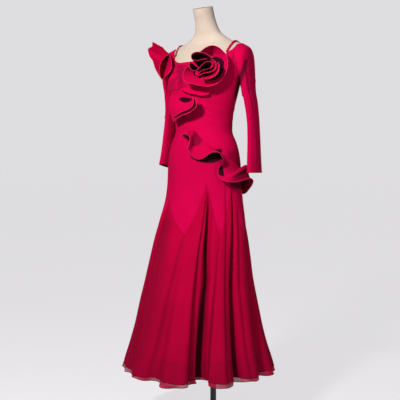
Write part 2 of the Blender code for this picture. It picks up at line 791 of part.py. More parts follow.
def make_shoulder_leaves():
    """The back leaf, and the front leaf whose fold lies on it: a trough that opens to the front left."""
    back = ruffle_points(BACK_LEAF, BACK_LEAF_COLUMNS, BACK_LEAF_OFF, BACK_LEAF_BOW)
    sheet("shoulder_back_leaf", back, "crimson")
    normal = np.cross(np.gradient(back, axis=1), np.gradient(back, axis=0))
    normal /= np.linalg.norm(normal, axis=2, keepdims=True)
    ahead = faced(0.0, 0.0, 1.0) - faced(0.0, 0.0, 0.0)
    if float(normal.mean(axis=(0, 1)) @ ahead) < 0:
        normal = -normal
    laid = back + normal * (RUFFLE_CLOTH + SEAM)
    table = Curve([(i / (len(FRONT_LEAF) - 1), *row) for i, row in enumerate(FRONT_LEAF)])
    columns = BACK_LEAF_COLUMNS - 2
    grid = np.zeros((5, columns, 3))
    for j in range(columns):
        row = table(j / (columns - 1))
        depth = row[3] * (len(back) - 1)
        low = min(int(depth), len(back) - 2)
        fold = laid[low, j + 1] * (1 - depth + low) + laid[low + 1, j + 1] * (depth - low)
        left, right = faced(*row[:3]), faced(*row[4:7])
        for i in range(5):
            share = i / 4
            grid[i, j] = (
                left * (1 - share) * (1 - 2 * share)
                + fold * 4 * share * (1 - share)
                + right * share * (2 * share - 1)
            )
    return sheet("shoulder_front_leaf", grid, "crimson_dark")


def rose_root(across, height, scale, off):
    """Where a petal is sewn to the bodice: drawn in towards the rose's centre, and off the cloth by this much."""
    root_across = ROSE_CENTRE[0] + scale * (across - ROSE_CENTRE[0])
    root_height = ROSE_CENTRE[1] + scale * (height - ROSE_CENTRE[1])
    return on_figure(angle_facing(root_across, root_height), root_height, off)


def make_rose_outer(around, outwards):
    """The outer petal: from a small ring on the bodice to its wide rim."""
    rim = resampled(ROSE_OUTER, around)
    grid = np.zeros((outwards + 1, around, 3))
    for j, (across, height, out, rise) in enumerate(rim):
        root = rose_root(across, height, PETAL_ROOT_SCALE, PETAL_ROOT_OFF)
        edge = faced(across, height, out)
        forward = faced(0.0, 0.0, 1.0) - faced(0.0, 0.0, 0.0)
        climb = float((edge - root) @ forward)
        flat = edge - root - climb * forward
        for i in range(outwards + 1):
            share = i / outwards
            grid[i, j] = root + flat * share + forward * climb * share**rise
    return sheet("rose_outer_petal", grid, "crimson")


def make_rose_curl(name, points, around, outwards):
    """A petal that stands on its root on the bodice, seen along its free edge."""
    line = resampled(points, around)
    grid = np.zeros((outwards + 1, around, 3))
    for j, (across, height) in enumerate(line):
        root = rose_root(across, height, CURL_ROOT_SCALE, CURL_ROOT_OFF)
        edge = faced(across, height, CURL_EDGE_OUT)
        for i in range(outwards + 1):
            grid[i, j] = root + (edge - root) * i / outwards
    return sheet(name, grid, "crimson")


def make_rose_band(columns):
    upper, lower = [], []
    for across_a, height_a, across_b, height_b in resampled(ROSE_BAND, columns):
        upper.append(on_figure(angle_facing(across_a, height_a), height_a, BAND_OFF_TOP))
        lower.append(on_figure(angle_facing(across_b, height_b), height_b, BAND_OFF_FOOT))
    return sheet("rose_band", ribbon(np.array(upper), np.array(lower), columns, across=2), "crimson")


def make_drape(columns, rows):
    """The gathered drape: soft folds that fan out from under the rose."""
    table = Curve(DRAPE)
    angles, heights = [], []
    keys = np.linspace(DRAPE[0][0], DRAPE[-1][0], columns + 1)
    for i in range(rows + 1):
        share = i / rows
        angles.append(list(keys))
        heights.append([float(table(k)[1] + (table(k)[0] - table(k)[1]) * share) for k in keys])

    def fold(angle, height):
        upper, lower = table(angle)
        share = (height - lower) / (upper - lower)
        edge = math.sin(math.pi * min(max(share, 0.0), 1.0))
        wave = 0.5 + 0.5 * math.cos(2 * math.pi * DRAPE_FOLDS * share / 2)
        return DRAPE_FOLD_HEIGHT * wave * edge

    return panel("neck_drape", angles, heights, "crimson", off=LAID_ON + CLOTH, lift=fold)


def strap_line(side, count):
    """Angles and heights from inside the front neckline over the shoulder to inside the back neckline."""
    line = []
    for start, end, front in ((STRAP_FRONT, STRAP_TOP, True), (STRAP_TOP, STRAP_BACK, False)):
        for share in np.linspace(0.0 if front else 1.0 / count, 1.0, count):
            x = start[0] + (end[0] - start[0]) * share
            z = start[1] + (end[1] - start[1]) * share
            lean = math.degrees(math.asin(min(x / FIGURE(z)[0], 1.0)))
            line.append((side * (lean if front else 180.0 - lean), z))
    return line


def make_strap(name, side, columns):
    """A narrow band over the shoulder, just clear of the form."""
    line = strap_line(side, columns)
    middle = resampled([on_figure(angle, z, LAID_ON) for angle, z in line], columns)
    tangent = np.gradient(middle, axis=0)
    tangent /= np.linalg.norm(tangent, axis=1, keepdims=True)
    outward = middle - np.array((0.0, FIGURE(SHOULDER_LEVEL)[4], STRAP_SPINE_HEIGHT))
    across = np.cross(tangent, outward)
    across /= np.linalg.norm(across, axis=1, keepdims=True)
    raised = np.cross(across, tangent)
    raised /= np.linalg.norm(raised, axis=1, keepdims=True)
    middle = middle + raised * STRAP_RAISE
    grid = np.array([middle - across * STRAP_WIDTH / 2, middle + across * STRAP_WIDTH / 2])
    return sheet(name, grid[::-1], "crimson", CLOTH)


def make_form(columns):
    """Torso and neck in one smooth closed body, inside the gown."""
    rings = []
    for height in (*FORM_LEVELS, NECK_TOP):
        inset = CLOTH + EASE + HIP_EASE * eased((HIP_EASE_TOP - height) / HIP_EASE_FALL)
        inset += FOOT_ROUND_INSET * max(FOOT_ROUND_TOP - height, 0.0) / (FOOT_ROUND_TOP - FORM_BOTTOM)
        ring = []
        for j in range(columns):
            point = on_figure(360.0 * j / columns, height, -inset)
            tip = eased((height - NECK_SLANT_START) / NECK_SLANT_RISE)
            point[2] += NECK_SLANT * (point[1] - FIGURE(height)[4]) * tip
            ring.append(point)
        rings.append(ring)
    points = [p for ring in rings for p in ring]
    faces = []
    for i in range(len(rings) - 1):
        for j in range(columns):
            k = (j + 1) % columns
            a, b = i * columns + j, i * columns + k
            faces.append((a, b, b + columns, a + columns))
    faces.append(tuple(reversed(range(columns))))
    top = (len(rings) - 1) * columns
    faces.append(tuple(range(top, top + columns)))
    return add_solid("dress_form", points, faces, "linen")


def make_turned(name, profile, columns, look):
    """A solid of revolution about the pole's axis, from a profile of radius and height."""
    points, faces = [], []
    for radius, height in profile:
        for j in range(columns):
            turn = 2 * math.pi * j / columns
            points.append((radius * math.cos(turn), radius * math.sin(turn), height))
    for i in range(len(profile) - 1):
        for j in range(columns):
            k = (j + 1) % columns
            a, b = i * columns + j, i * columns + k
            faces.append((a, b, b + columns, a + columns))
    faces.append(tuple(reversed(range(columns))))
    top = (len(profile) - 1) * columns
    faces.append(tuple(range(top, top + columns)))
    return add_solid(name, points, faces, look)


def make_stand():
    edge = BASE_EDGE
    rim = [(BASE_RADIUS - edge, 0.0), (BASE_RADIUS, edge), (BASE_RADIUS, BASE_THICKNESS - edge)]
    rim += [(BASE_RADIUS - edge, BASE_THICKNESS), (COLLAR_RADIUS, BASE_THICKNESS)]
    rim += [(COLLAR_RADIUS, COLLAR_HEIGHT), (COLLAR_RADIUS - edge, COLLAR_HEIGHT + edge)]
    make_turned("form_base", rim, 32, "black_steel")
    foot = COLLAR_HEIGHT + edge + SEAM
    make_turned("form_pole", [(POLE_RADIUS, foot), (POLE_RADIUS, FORM_BOTTOM - SEAM)], 20, "black_steel")


for old in list(bpy.data.objects):
    bpy.data.objects.remove(old)
GOWN = bpy.data.collections.new("ballroom_gown")
bpy.context.scene.collection.children.link(GOWN)

make_stand()
make_form(columns=32)
bodice("bodice_front", NECK_FRONT, -90.0, 18, 5, 13, "crimson")
bodice("bodice_back", NECK_BACK, 90.0, 12, 5, 13, "crimson")
for number in range(len(GODETS)):
    make_gore(number, columns=7)
    make_godet(number, columns=8)
make_hem_band(columns=64)
make_sleeve("sleeve_left", 1.0, columns=18)
make_sleeve("sleeve_right", -1.0, columns=18)
make_strap("strap_left", 1.0, columns=14)
make_strap("strap_right", -1.0, columns=14)
make_drape(columns=12, rows=12)
sheet("hip_ruffle", ruffle_points(HIP_RUFFLE, 48, bow=0.004), "crimson")
sheet("waist_ruffle", ruffle_points(WAIST_RUFFLE, 22, WAIST_RUFFLE_OFF, 0.012), "crimson_dark")
sheet("waist_overlay", ruffle_points(WAIST_OVERLAY, 22, WAIST_OVERLAY_OFF, 0.014), "crimson")
make_shoulder_leaves()
make_rose_outer(around=34, outwards=5)
for curl, edge_points in ROSE_CURLS.items():
    make_rose_curl(curl, edge_points, around=2 * len(edge_points), outwards=3)
make_rose_band(columns=10)
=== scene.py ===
"""Looks of a ballroom gown on a dress form: cloth shells on the solids' forms, materials, light."""

import math

import bpy
import numpy as np
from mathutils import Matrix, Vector


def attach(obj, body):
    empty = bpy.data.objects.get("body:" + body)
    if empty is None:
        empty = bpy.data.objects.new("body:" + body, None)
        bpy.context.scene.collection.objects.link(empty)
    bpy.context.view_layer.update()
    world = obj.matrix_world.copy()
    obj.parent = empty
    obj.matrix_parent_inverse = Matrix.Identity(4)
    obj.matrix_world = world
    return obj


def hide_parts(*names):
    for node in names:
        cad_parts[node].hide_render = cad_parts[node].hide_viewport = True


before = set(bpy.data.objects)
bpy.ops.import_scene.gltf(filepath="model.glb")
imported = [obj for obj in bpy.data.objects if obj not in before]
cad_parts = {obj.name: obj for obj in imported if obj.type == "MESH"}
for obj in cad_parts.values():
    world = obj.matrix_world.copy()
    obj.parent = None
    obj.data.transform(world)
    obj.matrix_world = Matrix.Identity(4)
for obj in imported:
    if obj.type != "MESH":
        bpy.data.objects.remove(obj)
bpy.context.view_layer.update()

# Cloth and gaps
CLOTH = 0.0015
RUFFLE_CLOTH = 0.0014
SEAM = 0.0003
SEWN = 0.00006
EASE = 0.0032
HIP_EASE = 0.004
HIP_EASE_TOP = 1.20
HIP_EASE_FALL = 0.08
LAID_ON = 0.0012
SLEEVE_CLEAR = 0.0005

# Levels and seams
HEM_HEIGHT = 0.260
BAND_DEPTH = 0.016
SEAM_MIDDLE = 1.145
SEAM_SLANT = 0.115
SEAM_HIGH_ANGLE = -75.0
FORM_BOTTOM = 0.935
NECK_TOP = 1.704
NECK_SLANT = 0.30

# Stand
POLE_RADIUS = 0.0125
BASE_RADIUS = 0.165
BASE_THICKNESS = 0.012
BASE_EDGE = 0.003
COLLAR_RADIUS = 0.024
COLLAR_HEIGHT = 0.040

# Armhole, an ellipse seen from the side
ARMHOLE_Y = -0.045
ARMHOLE_Z = 1.478
ARMHOLE_HALF_DEPTH = 0.058
ARMHOLE_HALF_HEIGHT = 0.078
ARMHOLE_NECK_TURN = 40.0

# The ruffles are measured in a frame that faces the front left: across it, up, and out from the body's axis
FACING = 30.0
FACING_COS, FACING_SIN = math.cos(math.radians(FACING)), math.sin(math.radians(FACING))
AXIS_Y = -0.081

# Straps: half distance between them and height, at the front neckline, on top and at the back neckline
STRAP_WIDTH = 0.007
STRAP_CLOTH = 0.0026
STRAP_FRONT = (0.117, 1.516)
STRAP_TOP = (0.127, 1.5685)
STRAP_BACK = (0.112, 1.520)
STRAP_RAISE = 0.0016
STRAP_SPINE_HEIGHT = 1.44
SHOULDER_LEVEL = 1.5

# How far the middles of the sewn edges of ruffles and petals lie off the bodice
PETAL_ROOT_OFF = 0.0017
CURL_ROOT_OFF = 0.0010
WAIST_RUFFLE_OFF = 0.0015
WAIST_OVERLAY_OFF = 0.0013
WAIST_RUFFLE_BOW = 0.012
WAIST_OVERLAY_BOW = 0.014
BACK_LEAF_OFF = 0.004


class Curve:
    """A smooth curve that never overshoots, through a table's rows. The first column is the key."""

    def __init__(self, rows):
        table = np.array(rows, float)
        self.keys = table[:, 0]
        self.values = table[:, 1:]
        rises = np.diff(self.values, axis=0) / np.diff(self.keys)[:, None]
        slopes = np.zeros_like(self.values)
        product = rises[:-1] * rises[1:]
        total = rises[:-1] + rises[1:]
        slopes[1:-1] = np.where(product > 0, 2 * product / np.where(total == 0, 1, total), 0)
        slopes[0] = rises[0]
        slopes[-1] = rises[-1]
        self.slopes = slopes

    def __call__(self, key):
        key = np.asarray(key, float)
        i = np.clip(np.searchsorted(self.keys, key) - 1, 0, len(self.keys) - 2)
        step = (self.keys[i + 1] - self.keys[i])[..., None]
        t = np.clip((key - self.keys[i])[..., None] / step, 0, 1)
        leave, arrive = self.slopes[i] * step, self.slopes[i + 1] * step
        return (
            (2 * t**3 - 3 * t**2 + 1) * self.values[i]
            + (t**3 - 2 * t**2 + t) * leave
            + (3 * t**2 - 2 * t**3) * self.values[i + 1]
            + (t**3 - t**2) * arrive
        )


# Sections of the dressed figure: height, half_width, front, back, centre_x, centre_y
FIGURE = Curve((
    (0.24, 0.322, 0.304, 0.31, -0.012, -0.115), (0.28, 0.311, 0.297, 0.303, -0.012, -0.115),
    (0.35, 0.288, 0.275, 0.281, -0.012, -0.115), (0.424, 0.268, 0.254, 0.258, -0.011, -0.114),
    (0.521, 0.247, 0.231, 0.236, -0.01, -0.113), (0.619, 0.226, 0.204, 0.212, -0.009, -0.109),
    (0.693, 0.214, 0.186, 0.196, -0.007, -0.105), (0.766, 0.202, 0.165, 0.177, -0.005, -0.101),
    (0.84, 0.187, 0.14, 0.152, -0.002, -0.096), (0.938, 0.166, 0.12, 0.134, 0, -0.084),
    (0.999, 0.16, 0.114, 0.128, 0, -0.081), (1.076, 0.156, 0.113, 0.123, 0, -0.081),
    (1.117, 0.151, 0.111, 0.118, 0, -0.081), (1.162, 0.139, 0.104, 0.107, 0, -0.081),
    (1.209, 0.121, 0.094, 0.096, 0, -0.081), (1.253, 0.123, 0.093, 0.095, 0, -0.081),
    (1.297, 0.131, 0.094, 0.095, 0, -0.081), (1.355, 0.146, 0.101, 0.099, 0, -0.079),
    (1.415, 0.16, 0.106, 0.104, 0, -0.075), (1.45, 0.168, 0.104, 0.102, 0, -0.066),
    (1.5, 0.178, 0.09, 0.095, 0, -0.05), (1.53, 0.176, 0.076, 0.088, 0, -0.042),
    (1.55, 0.162, 0.064, 0.078, 0, -0.038), (1.562, 0.143, 0.057, 0.07, 0, -0.036),
    (1.572, 0.116, 0.053, 0.064, 0, -0.036), (1.59, 0.085, 0.051, 0.057, 0, -0.038),
    (1.612, 0.06, 0.05, 0.052, 0, -0.047), (1.64, 0.05, 0.048, 0.048, 0, -0.06),
    (1.672, 0.046, 0.046, 0.046, 0, -0.076), (1.74, 0.045, 0.045, 0.045, 0, -0.106),
))

# Skirt flutes' valleys: angle_at_top, angle_at_hem, width_before, width_after, depth_at_hem, top_height
VALLEYS = (
    (5, -6, 9, 10, 0.038, 0.9), (34, 29, 6, 12, 0.08, 1), (69, 62, 6, 9, 0.06, 0.97),
    (102, 90, 8, 10, 0.045, 0.9), (138, 136, 10, 9, 0.05, 0.93), (166, 164, 9, 11, 0.055, 0.93),
    (194, 190, 10, 9, 0.05, 0.9), (222, 218, 9, 10, 0.055, 0.93), (255, 250, 10, 9, 0.05, 0.9),
    (285, 286, 9, 10, 0.045, 0.92), (318, 320, 10, 9, 0.035, 0.86),
)

# Bust cups, from the darts: angle, height, angular_half_width, half_height, depth
CUPS = (
    (-28.0, 1.425, 21.0, 0.052, 0.020),
    (28.0, 1.425, 21.0, 0.052, 0.020),
)

# Levels of the skirt's rows up to the hip
SKIRT_LEVELS = (HEM_HEIGHT, 0.335, 0.412, 0.490, 0.570, 0.650, 0.730, 0.800, 0.865, 0.930, 1.000)

# Flared godets below the hip gores: top_angle, top_level, then of the seam before it: point_angle,
# hem_angle. Each gore narrows to a point between two godets, and below the points the godets are sewn
# to each other.
GODETS = (
    (-40, 9, -61, -62), (26, 10, 4, -9), (69, 10, 48, 46), (112, 9, 91, 90), (152, 10, 132, 132),
    (194, 9, 173, 173), (236, 10, 215, 215), (278, 9, 257, 258),
)
GORE_POINT_LEVEL = 7
TIP_HALF_ANGLE = 0.15

# Front neckline, seen between the armholes: angle, height
NECK_FRONT = Curve((
    (-55, 1.538), (-46, 1.518), (-38, 1.498), (-22, 1.482), (0, 1.484), (20, 1.49), (36, 1.504),
    (46, 1.519), (55, 1.538),
))

# Back neckline: angle, height
NECK_BACK = Curve((
    (125, 1.538), (140, 1.512), (160, 1.492), (180, 1.486), (200, 1.492), (220, 1.512), (235, 1.538),
))

# Sleeve sections: across_x_left, across_x_right, y, z, tilt from upright, half_across, half_depth
SLEEVE = (
    (0.175, 0.175, -0.046, 1.469, 11, 0.067, 0.06), (0.18, 0.179, -0.047, 1.441, 18, 0.052, 0.058),
    (0.185, 0.177, -0.05, 1.402, 31, 0.031, 0.055), (0.191, 0.169, -0.053, 1.361, 61, 0.018, 0.051),
    (0.202, 0.166, -0.056, 1.32, 88, 0.016, 0.047), (0.211, 0.169, -0.059, 1.26, 90, 0.016, 0.044),
    (0.216, 0.175, -0.061, 1.18, 90, 0.017, 0.045), (0.219, 0.18, -0.064, 1.1, 90, 0.018, 0.05),
    (0.221, 0.185, -0.066, 1.042, 90, 0.019, 0.056),
)

# The right forearm hangs bent, so its cuff is higher and slants up at the front
BENT_SLEEVE_TOP = 1.26
RIGHT_CUFF_RISE = 0.026
RIGHT_CUFF_SLANT = 0.010

# Hip ruffle: root_angle, root_height, edge_across, edge_height, edge_out
HIP_RUFFLE = (
    (-10, 1.204, -0.086, 1.19, 0.118), (-5, 1.208, -0.071, 1.196, 0.128), (1, 1.208, -0.057, 1.181, 0.14),
    (6, 1.205, -0.054, 1.168, 0.146), (10, 1.198, -0.058, 1.148, 0.144), (14, 1.19, -0.062, 1.13, 0.134),
    (17, 1.181, -0.048, 1.111, 0.126), (21, 1.171, -0.034, 1.097, 0.128),
    (24, 1.162, -0.018, 1.094, 0.132), (27, 1.154, -0.003, 1.098, 0.139),
    (30, 1.147, 0.011, 1.108, 0.148), (33, 1.142, 0.024, 1.117, 0.157), (37, 1.137, 0.038, 1.122, 0.164),
    (41, 1.132, 0.053, 1.121, 0.168), (44, 1.127, 0.065, 1.112, 0.168), (48, 1.122, 0.073, 1.095, 0.163),
    (52, 1.117, 0.069, 1.076, 0.156), (57, 1.111, 0.056, 1.056, 0.152), (62, 1.104, 0.053, 1.038, 0.151),
    (67, 1.097, 0.06, 1.022, 0.154), (72, 1.09, 0.076, 1.012, 0.158), (77, 1.083, 0.096, 1.007, 0.16),
    (82, 1.076, 0.118, 1.006, 0.158), (88, 1.069, 0.14, 1.01, 0.153), (94, 1.062, 0.162, 1.016, 0.144),
    (100, 1.055, 0.182, 1.02, 0.128), (107, 1.048, 0.193, 1.013, 0.106),
    (114, 1.042, 0.192, 0.995, 0.082), (122, 1.036, 0.181, 0.976, 0.058), (131, 1.032, 0.17, 0.96, 0.03),
    (140, 1.03, 0.16, 0.955, -0.002), (150, 1.03, 0.138, 0.966, -0.04),
)

# Waist ruffle, lower layer: root_angle, root_height, edge_across, edge_height, edge_out
WAIST_RUFFLE = (
    (-56, 1.346, -0.121, 1.243, 0.06), (-42, 1.342, -0.106, 1.255, 0.086),
    (-31, 1.338, -0.088, 1.264, 0.108), (-22, 1.335, -0.063, 1.272, 0.128),
    (-14, 1.332, -0.043, 1.283, 0.142), (-8, 1.33, -0.031, 1.295, 0.15),
    (-3, 1.328, -0.027, 1.309, 0.152), (2, 1.325, -0.03, 1.322, 0.148), (7, 1.321, -0.034, 1.332, 0.14),
)

# Waist ruffle, upper layer: same columns
WAIST_OVERLAY = (
    (-54, 1.357, -0.122, 1.262, 0.072), (-42, 1.353, -0.108, 1.267, 0.1),
    (-31, 1.35, -0.094, 1.275, 0.12), (-23, 1.347, -0.074, 1.282, 0.138),
    (-16, 1.343, -0.057, 1.289, 0.151), (-10, 1.34, -0.046, 1.298, 0.16), (-6, 1.338, -0.04, 1.31, 0.162),
    (-2, 1.335, -0.041, 1.323, 0.158), (2, 1.332, -0.043, 1.334, 0.149),
)

# Shoulder ruffle, back leaf: root_angle, root_height, edge_across, edge_height, edge_out
BACK_LEAF = (
    (-52, 1.524, -0.166, 1.548, -0.01), (-51, 1.519, -0.184, 1.558, -0.01),
    (-50, 1.513, -0.206, 1.569, -0.006), (-50, 1.506, -0.207, 1.552, 0.006),
    (-50, 1.498, -0.226, 1.541, -0.01), (-50, 1.49, -0.22, 1.515, -0.004),
    (-50, 1.481, -0.206, 1.493, 0.01), (-51, 1.471, -0.196, 1.462, 0.016),
    (-52, 1.46, -0.184, 1.439, 0.022), (-53, 1.448, -0.168, 1.414, 0.03),
)

# Shoulder ruffle, front leaf, a trough whose fold is sewn along the back leaf: left_across, left_height,
# left_out, share of the back leaf's depth where the fold lies, right_across, right_height, right_out
FRONT_LEAF = (
    (-0.147, 1.519, -0.012, 0.16, -0.138, 1.517, -0.01), (-0.161, 1.5, 0.022, 0.18, -0.132, 1.497, 0.026),
    (-0.17, 1.482, 0.044, 0.22, -0.128, 1.48, 0.048), (-0.176, 1.463, 0.056, 0.32, -0.127, 1.461, 0.058),
    (-0.177, 1.443, 0.06, 0.52, -0.136, 1.441, 0.06), (-0.172, 1.42, 0.05, 0.86, -0.155, 1.422, 0.05),
)
BACK_LEAF_BOW = 0.004
# Painted shade inside the front leaf's trough
FRONT_LEAF_PAINTED_SHADE = 0.42
LEAF_COLUMNS = 90
FOLD_START = 7

# Rose, outer petal's rim: across, height, out, rise (over 1 hollow, under 1 domed), reach of the painted
# shade
ROSE_CENTRE = (-0.005, 1.443)
ROSE_OUTER = (
    (-0.026, 1.496, 0.148, 1.5, 0.3), (-0.01, 1.509, 0.156, 1.8, 0.25), (0.011, 1.523, 0.158, 2, 0.22),
    (0.032, 1.529, 0.158, 2.2, 0.26), (0.05, 1.525, 0.156, 2.4, 0.33), (0.068, 1.513, 0.152, 2.6, 0.5),
    (0.084, 1.495, 0.148, 2.6, 0.68), (0.092, 1.472, 0.145, 2.6, 0.77), (0.09, 1.445, 0.146, 2.6, 0.79),
    (0.08, 1.418, 0.15, 2.4, 0.78), (0.062, 1.394, 0.156, 2, 0.7), (0.04, 1.379, 0.161, 1.5, 0.55),
    (0.014, 1.372, 0.165, 1.1, 0.4), (-0.013, 1.375, 0.167, 0.9, 0.25), (-0.046, 1.383, 0.162, 0.8, 0.15),
    (-0.076, 1.394, 0.146, 0.8, 0.1), (-0.082, 1.414, 0.136, 0.8, 0.1), (-0.077, 1.436, 0.134, 0.9, 0.15),
    (-0.064, 1.45, 0.138, 1, 0.2),
)

# Rose, standing curls' free edges: across, height, share of the wall under the edge that is lit, with
# painted shade below it
ROSE_CURLS = {
    "rose_upper_curl": (
        (0.033, 1.478, 0.1), (0.016, 1.489, 0.06), (-0.006, 1.498, 0.05), (-0.026, 1.5, 0.05),
        (-0.042, 1.495, 0.05), (-0.049, 1.484, 0.05), (-0.046, 1.473, 0.05), (-0.027, 1.468, 0.05),
        (-0.006, 1.472, 0.05), (0.012, 1.475, 0.08),
    ),
    "rose_middle_curl": (
        (0.026, 1.473, 0.1), (0.04, 1.466, 0.25), (0.047, 1.455, 0.35), (0.046, 1.441, 0.4),
        (0.038, 1.43, 0.48), (0.023, 1.424, 0.52), (0.002, 1.42, 0.5), (-0.018, 1.412, 0.35),
    ),
    "rose_inner_curl": (
        (-0.053, 1.463, 0.06), (-0.056, 1.448, 0.05), (-0.05, 1.435, 0.05), (-0.038, 1.429, 0.05),
        (-0.026, 1.433, 0.05), (-0.013, 1.446, 0.05), (0, 1.458, 0.06), (0.014, 1.464, 0.06),
        (0.027, 1.463, 0.08), (0.034, 1.455, 0.14), (0.031, 1.444, 0.3), (0.015, 1.436, 0.38),
        (-0.006, 1.431, 0.36), (-0.018, 1.422, 0.25),
    ),
    "rose_lower_curl": (
        (0.053, 1.462, 0.12), (0.058, 1.448, 0.18), (0.057, 1.434, 0.24), (0.049, 1.417, 0.32),
        (0.032, 1.404, 0.42), (0.009, 1.398, 0.45), (-0.013, 1.398, 0.4),
    ),
}
PETAL_ROOT_SCALE = 0.40
CURL_ROOT_SCALE = 0.33
CURL_EDGE_OUT = 0.186

# Strip under the rose: across and height of its upper edge, then of its lower edge
BAND_OFF_TOP = 0.0037
BAND_OFF_FOOT = 0.018
ROSE_BAND = (
    (-0.08, 1.378, -0.082, 1.372), (-0.062, 1.376, -0.064, 1.36), (-0.045, 1.372, -0.047, 1.352),
    (-0.024, 1.368, -0.026, 1.346), (-0.003, 1.365, -0.004, 1.341), (0.022, 1.364, 0.02, 1.346),
)

# Gathered drape over the wearer's right cup: angle, upper_height, lower_height
DRAPE = (
    (-62, 1.462, 1.372), (-50, 1.478, 1.366), (-38, 1.484, 1.364), (-26, 1.474, 1.366),
    (-14, 1.47, 1.372), (-4, 1.47, 1.384),
)
DRAPE_FOLDS = 15
DRAPE_PIVOT = (0.0, 1.458)
DRAPE_DEPTH = 0.0050
# Painted shade in the valleys between the drape's folds
DRAPE_PAINTED_SHADE = 0.80
METRES_PER_DEGREE = 0.0024

# Levels of the form's rings under its neck cap, and how its foot is rounded
FORM_LEVELS = (
    (FORM_BOTTOM, 0.945, 0.975, 1.02, 1.076, 1.117, 1.162, 1.19, 1.215, 1.253, 1.297, 1.34, 1.38)
    + (1.415, 1.45, 1.48, 1.505, 1.53, 1.545, 1.556, 1.565, 1.573, 1.583, 1.598, 1.615, 1.64, 1.672, 1.70)
)
FOOT_ROUND_TOP = 0.96
FOOT_ROUND_INSET = 0.018
NECK_SLANT_START = 1.64
NECK_SLANT_RISE = 0.06

HALVINGS = 40

# Camera: the photograph's viewing angle
CAMERA_PLACE = (1.4765, -2.669, 1.06)
CAMERA_AZIMUTH = 30.0
CAMERA_PITCH = 2.5
CAMERA_LENS = 65.8

# Studio: the tone of the background, how much of it lights the gown, and the floor
STUDIO_TONE = (0.73, 0.72, 0.74)
AMBIENT = 0.30
FLOOR_REACH = 300.0
FLOOR_GLOW = 0.88

# Folds between the main flutes: angle where each starts, half way down and at the hem, height of its
# start, depth at the hem, width of its steep side and of its easy side. A steep side lies towards the
# lower angle when its width is positive, else towards the higher one.
SKIRT_FOLDS = (
    (-66, -60, -58, 0.96, 0.018, 2.4, 8), (-43, -44, -36, 0.98, 0.016, 2.2, 8),
    (-30, -26, -22, 0.8, 0.008, 3.4, 8), (-14, -13, -16, 0.72, 0.006, 4, 8),
    (4, -1, -10, 0.84, 0.011, 2.8, 7), (13, 12, 8, 0.97, 0.007, 2.6, 6), (26.5, 24, 20, 1, 0.016, 1.4, 6),
    (29, 33, 27, 0.985, 0.042, 1.3, 5), (48, 45.5, 36, 0.88, 0.018, -1.2, 5),
    (57, 57, 54, 1.02, 0.009, 1.7, 5), (69, 65, 62.5, 0.98, 0.036, 1.3, 4),
    (81, 77, 74, 0.92, 0.012, 2.4, 6), (100, 96, 90, 0.9, 0.018, 1.8, 6),
    (112, 110, 108, 0.93, 0.018, 2, 6), (128, 126, 124, 0.86, 0.012, 2.4, 7),
    (140, 138, 138, 0.88, 0.016, 2.2, 6), (152, 152, 150, 0.98, 0.02, 1.8, 6),
    (168, 168, 166, 0.86, 0.014, 2.4, 6), (182, 180, 178, 0.84, 0.012, 2.4, 6),
    (194, 193, 191, 0.94, 0.02, 2, 6), (210, 208, 206, 0.86, 0.014, 2.4, 6),
    (224, 222, 220, 0.86, 0.014, 2.4, 6), (236, 236, 235, 0.98, 0.02, 2, 6),
    (252, 250, 249, 0.86, 0.014, 2.4, 7), (266, 266, 264, 0.86, 0.012, 2.4, 7),
    (280, 281, 282, 0.94, 0.018, 2.2, 8),
)

# Painted shade deep in the main folds and over the left godet, which faces away from the light: angle at
# the top, half way and at the hem, height of the start, darkness, width before and after the angle
FOLD_PAINTED_SHADE = (
    (26.5, 24, 20, 1.005, 0.62, 0.9, 1.3), (29.6, 33, 27, 0.95, 0.92, 1.2, 2.4),
    (69, 65.4, 62.5, 1.01, 1, 1.9, 2.3), (48, 45, 35.5, 0.86, 0.55, 1.6, 0.5),
    (-43, -44.5, -30, 0.985, 0.3, 1.6, 3), (4, -1.5, -10.5, 0.83, 0.28, 4, 1.6),
    (98, 92, 90, 0.93, 0.55, 1.2, 3), (-30, -32, -40, 0.9, 0.33, 28, 27),
)
HEM_SHADE = 0.13
# Painted shade that grows downwards from LOW_SHADE_TOP, where less light falls towards the hem
LOW_SHADE = 0.17
LOW_SHADE_TOP = 0.80
HEM_BAND_TOP = 0.335

# Lines round the hem: name, height above the hem, how far off the cloth, radius, sides
HEM_LINES = (
    ("hem_turned_edge", 0.0015, 0.0009, 0.0011, 6),
    ("hem_stitch_line", 0.075, 0.0006, 0.0005, 4),
)

# Flutes that lean over the valley beside them: angle_at_hem, half_width, lean_at_hem
LEANING_FLUTES = (
    (20, 7, 4.5), (50, 7, -2), (126, 7, 2.5), (206, 7, -2.5), (262, 7, 2.5),
)

# Soft creases in the bodice: start angle, start height, end angle, end height, half width, depth
BODICE_CREASES = (
    (-70, 1.3, -20, 1.262, 0.005, 0.002), (-66, 1.268, -16, 1.246, 0.0045, 0.0018),
    (-60, 1.238, -10, 1.228, 0.005, 0.0022), (-52, 1.216, 2, 1.212, 0.0045, 0.0018),
    (12, 1.33, 58, 1.3, 0.005, 0.0016), (8, 1.302, 60, 1.262, 0.0055, 0.002),
    (14, 1.272, 64, 1.236, 0.005, 0.0018), (26, 1.24, 72, 1.212, 0.005, 0.002),
    (40, 1.2, 80, 1.184, 0.005, 0.0016), (52, 1.4, 78, 1.442, 0.0055, 0.002),
    (44, 1.38, 80, 1.404, 0.005, 0.0018), (100, 1.29, 150, 1.262, 0.0055, 0.0018),
    (104, 1.25, 160, 1.232, 0.005, 0.0022), (112, 1.216, 168, 1.208, 0.005, 0.0018),
    (204, 1.232, 256, 1.252, 0.005, 0.002), (196, 1.206, 250, 1.222, 0.005, 0.0018),
    (210, 1.262, 260, 1.286, 0.0055, 0.0018), (100, 1.408, 126, 1.44, 0.0055, 0.0018),
    (236, 1.44, 262, 1.404, 0.0055, 0.0018),
)

# Hollows pressed into the waist flounce: across, height, half length, half height, slant, depth, painted
# shade
WAIST_HOLLOWS = (
    (-0.0712, 1.3285, 0.0290, 0.0165, -11.0, 0.008, 1.0),
    (-0.0690, 1.3560, 0.0090, 0.0030, -8.0, 0.003, 0.5),
)
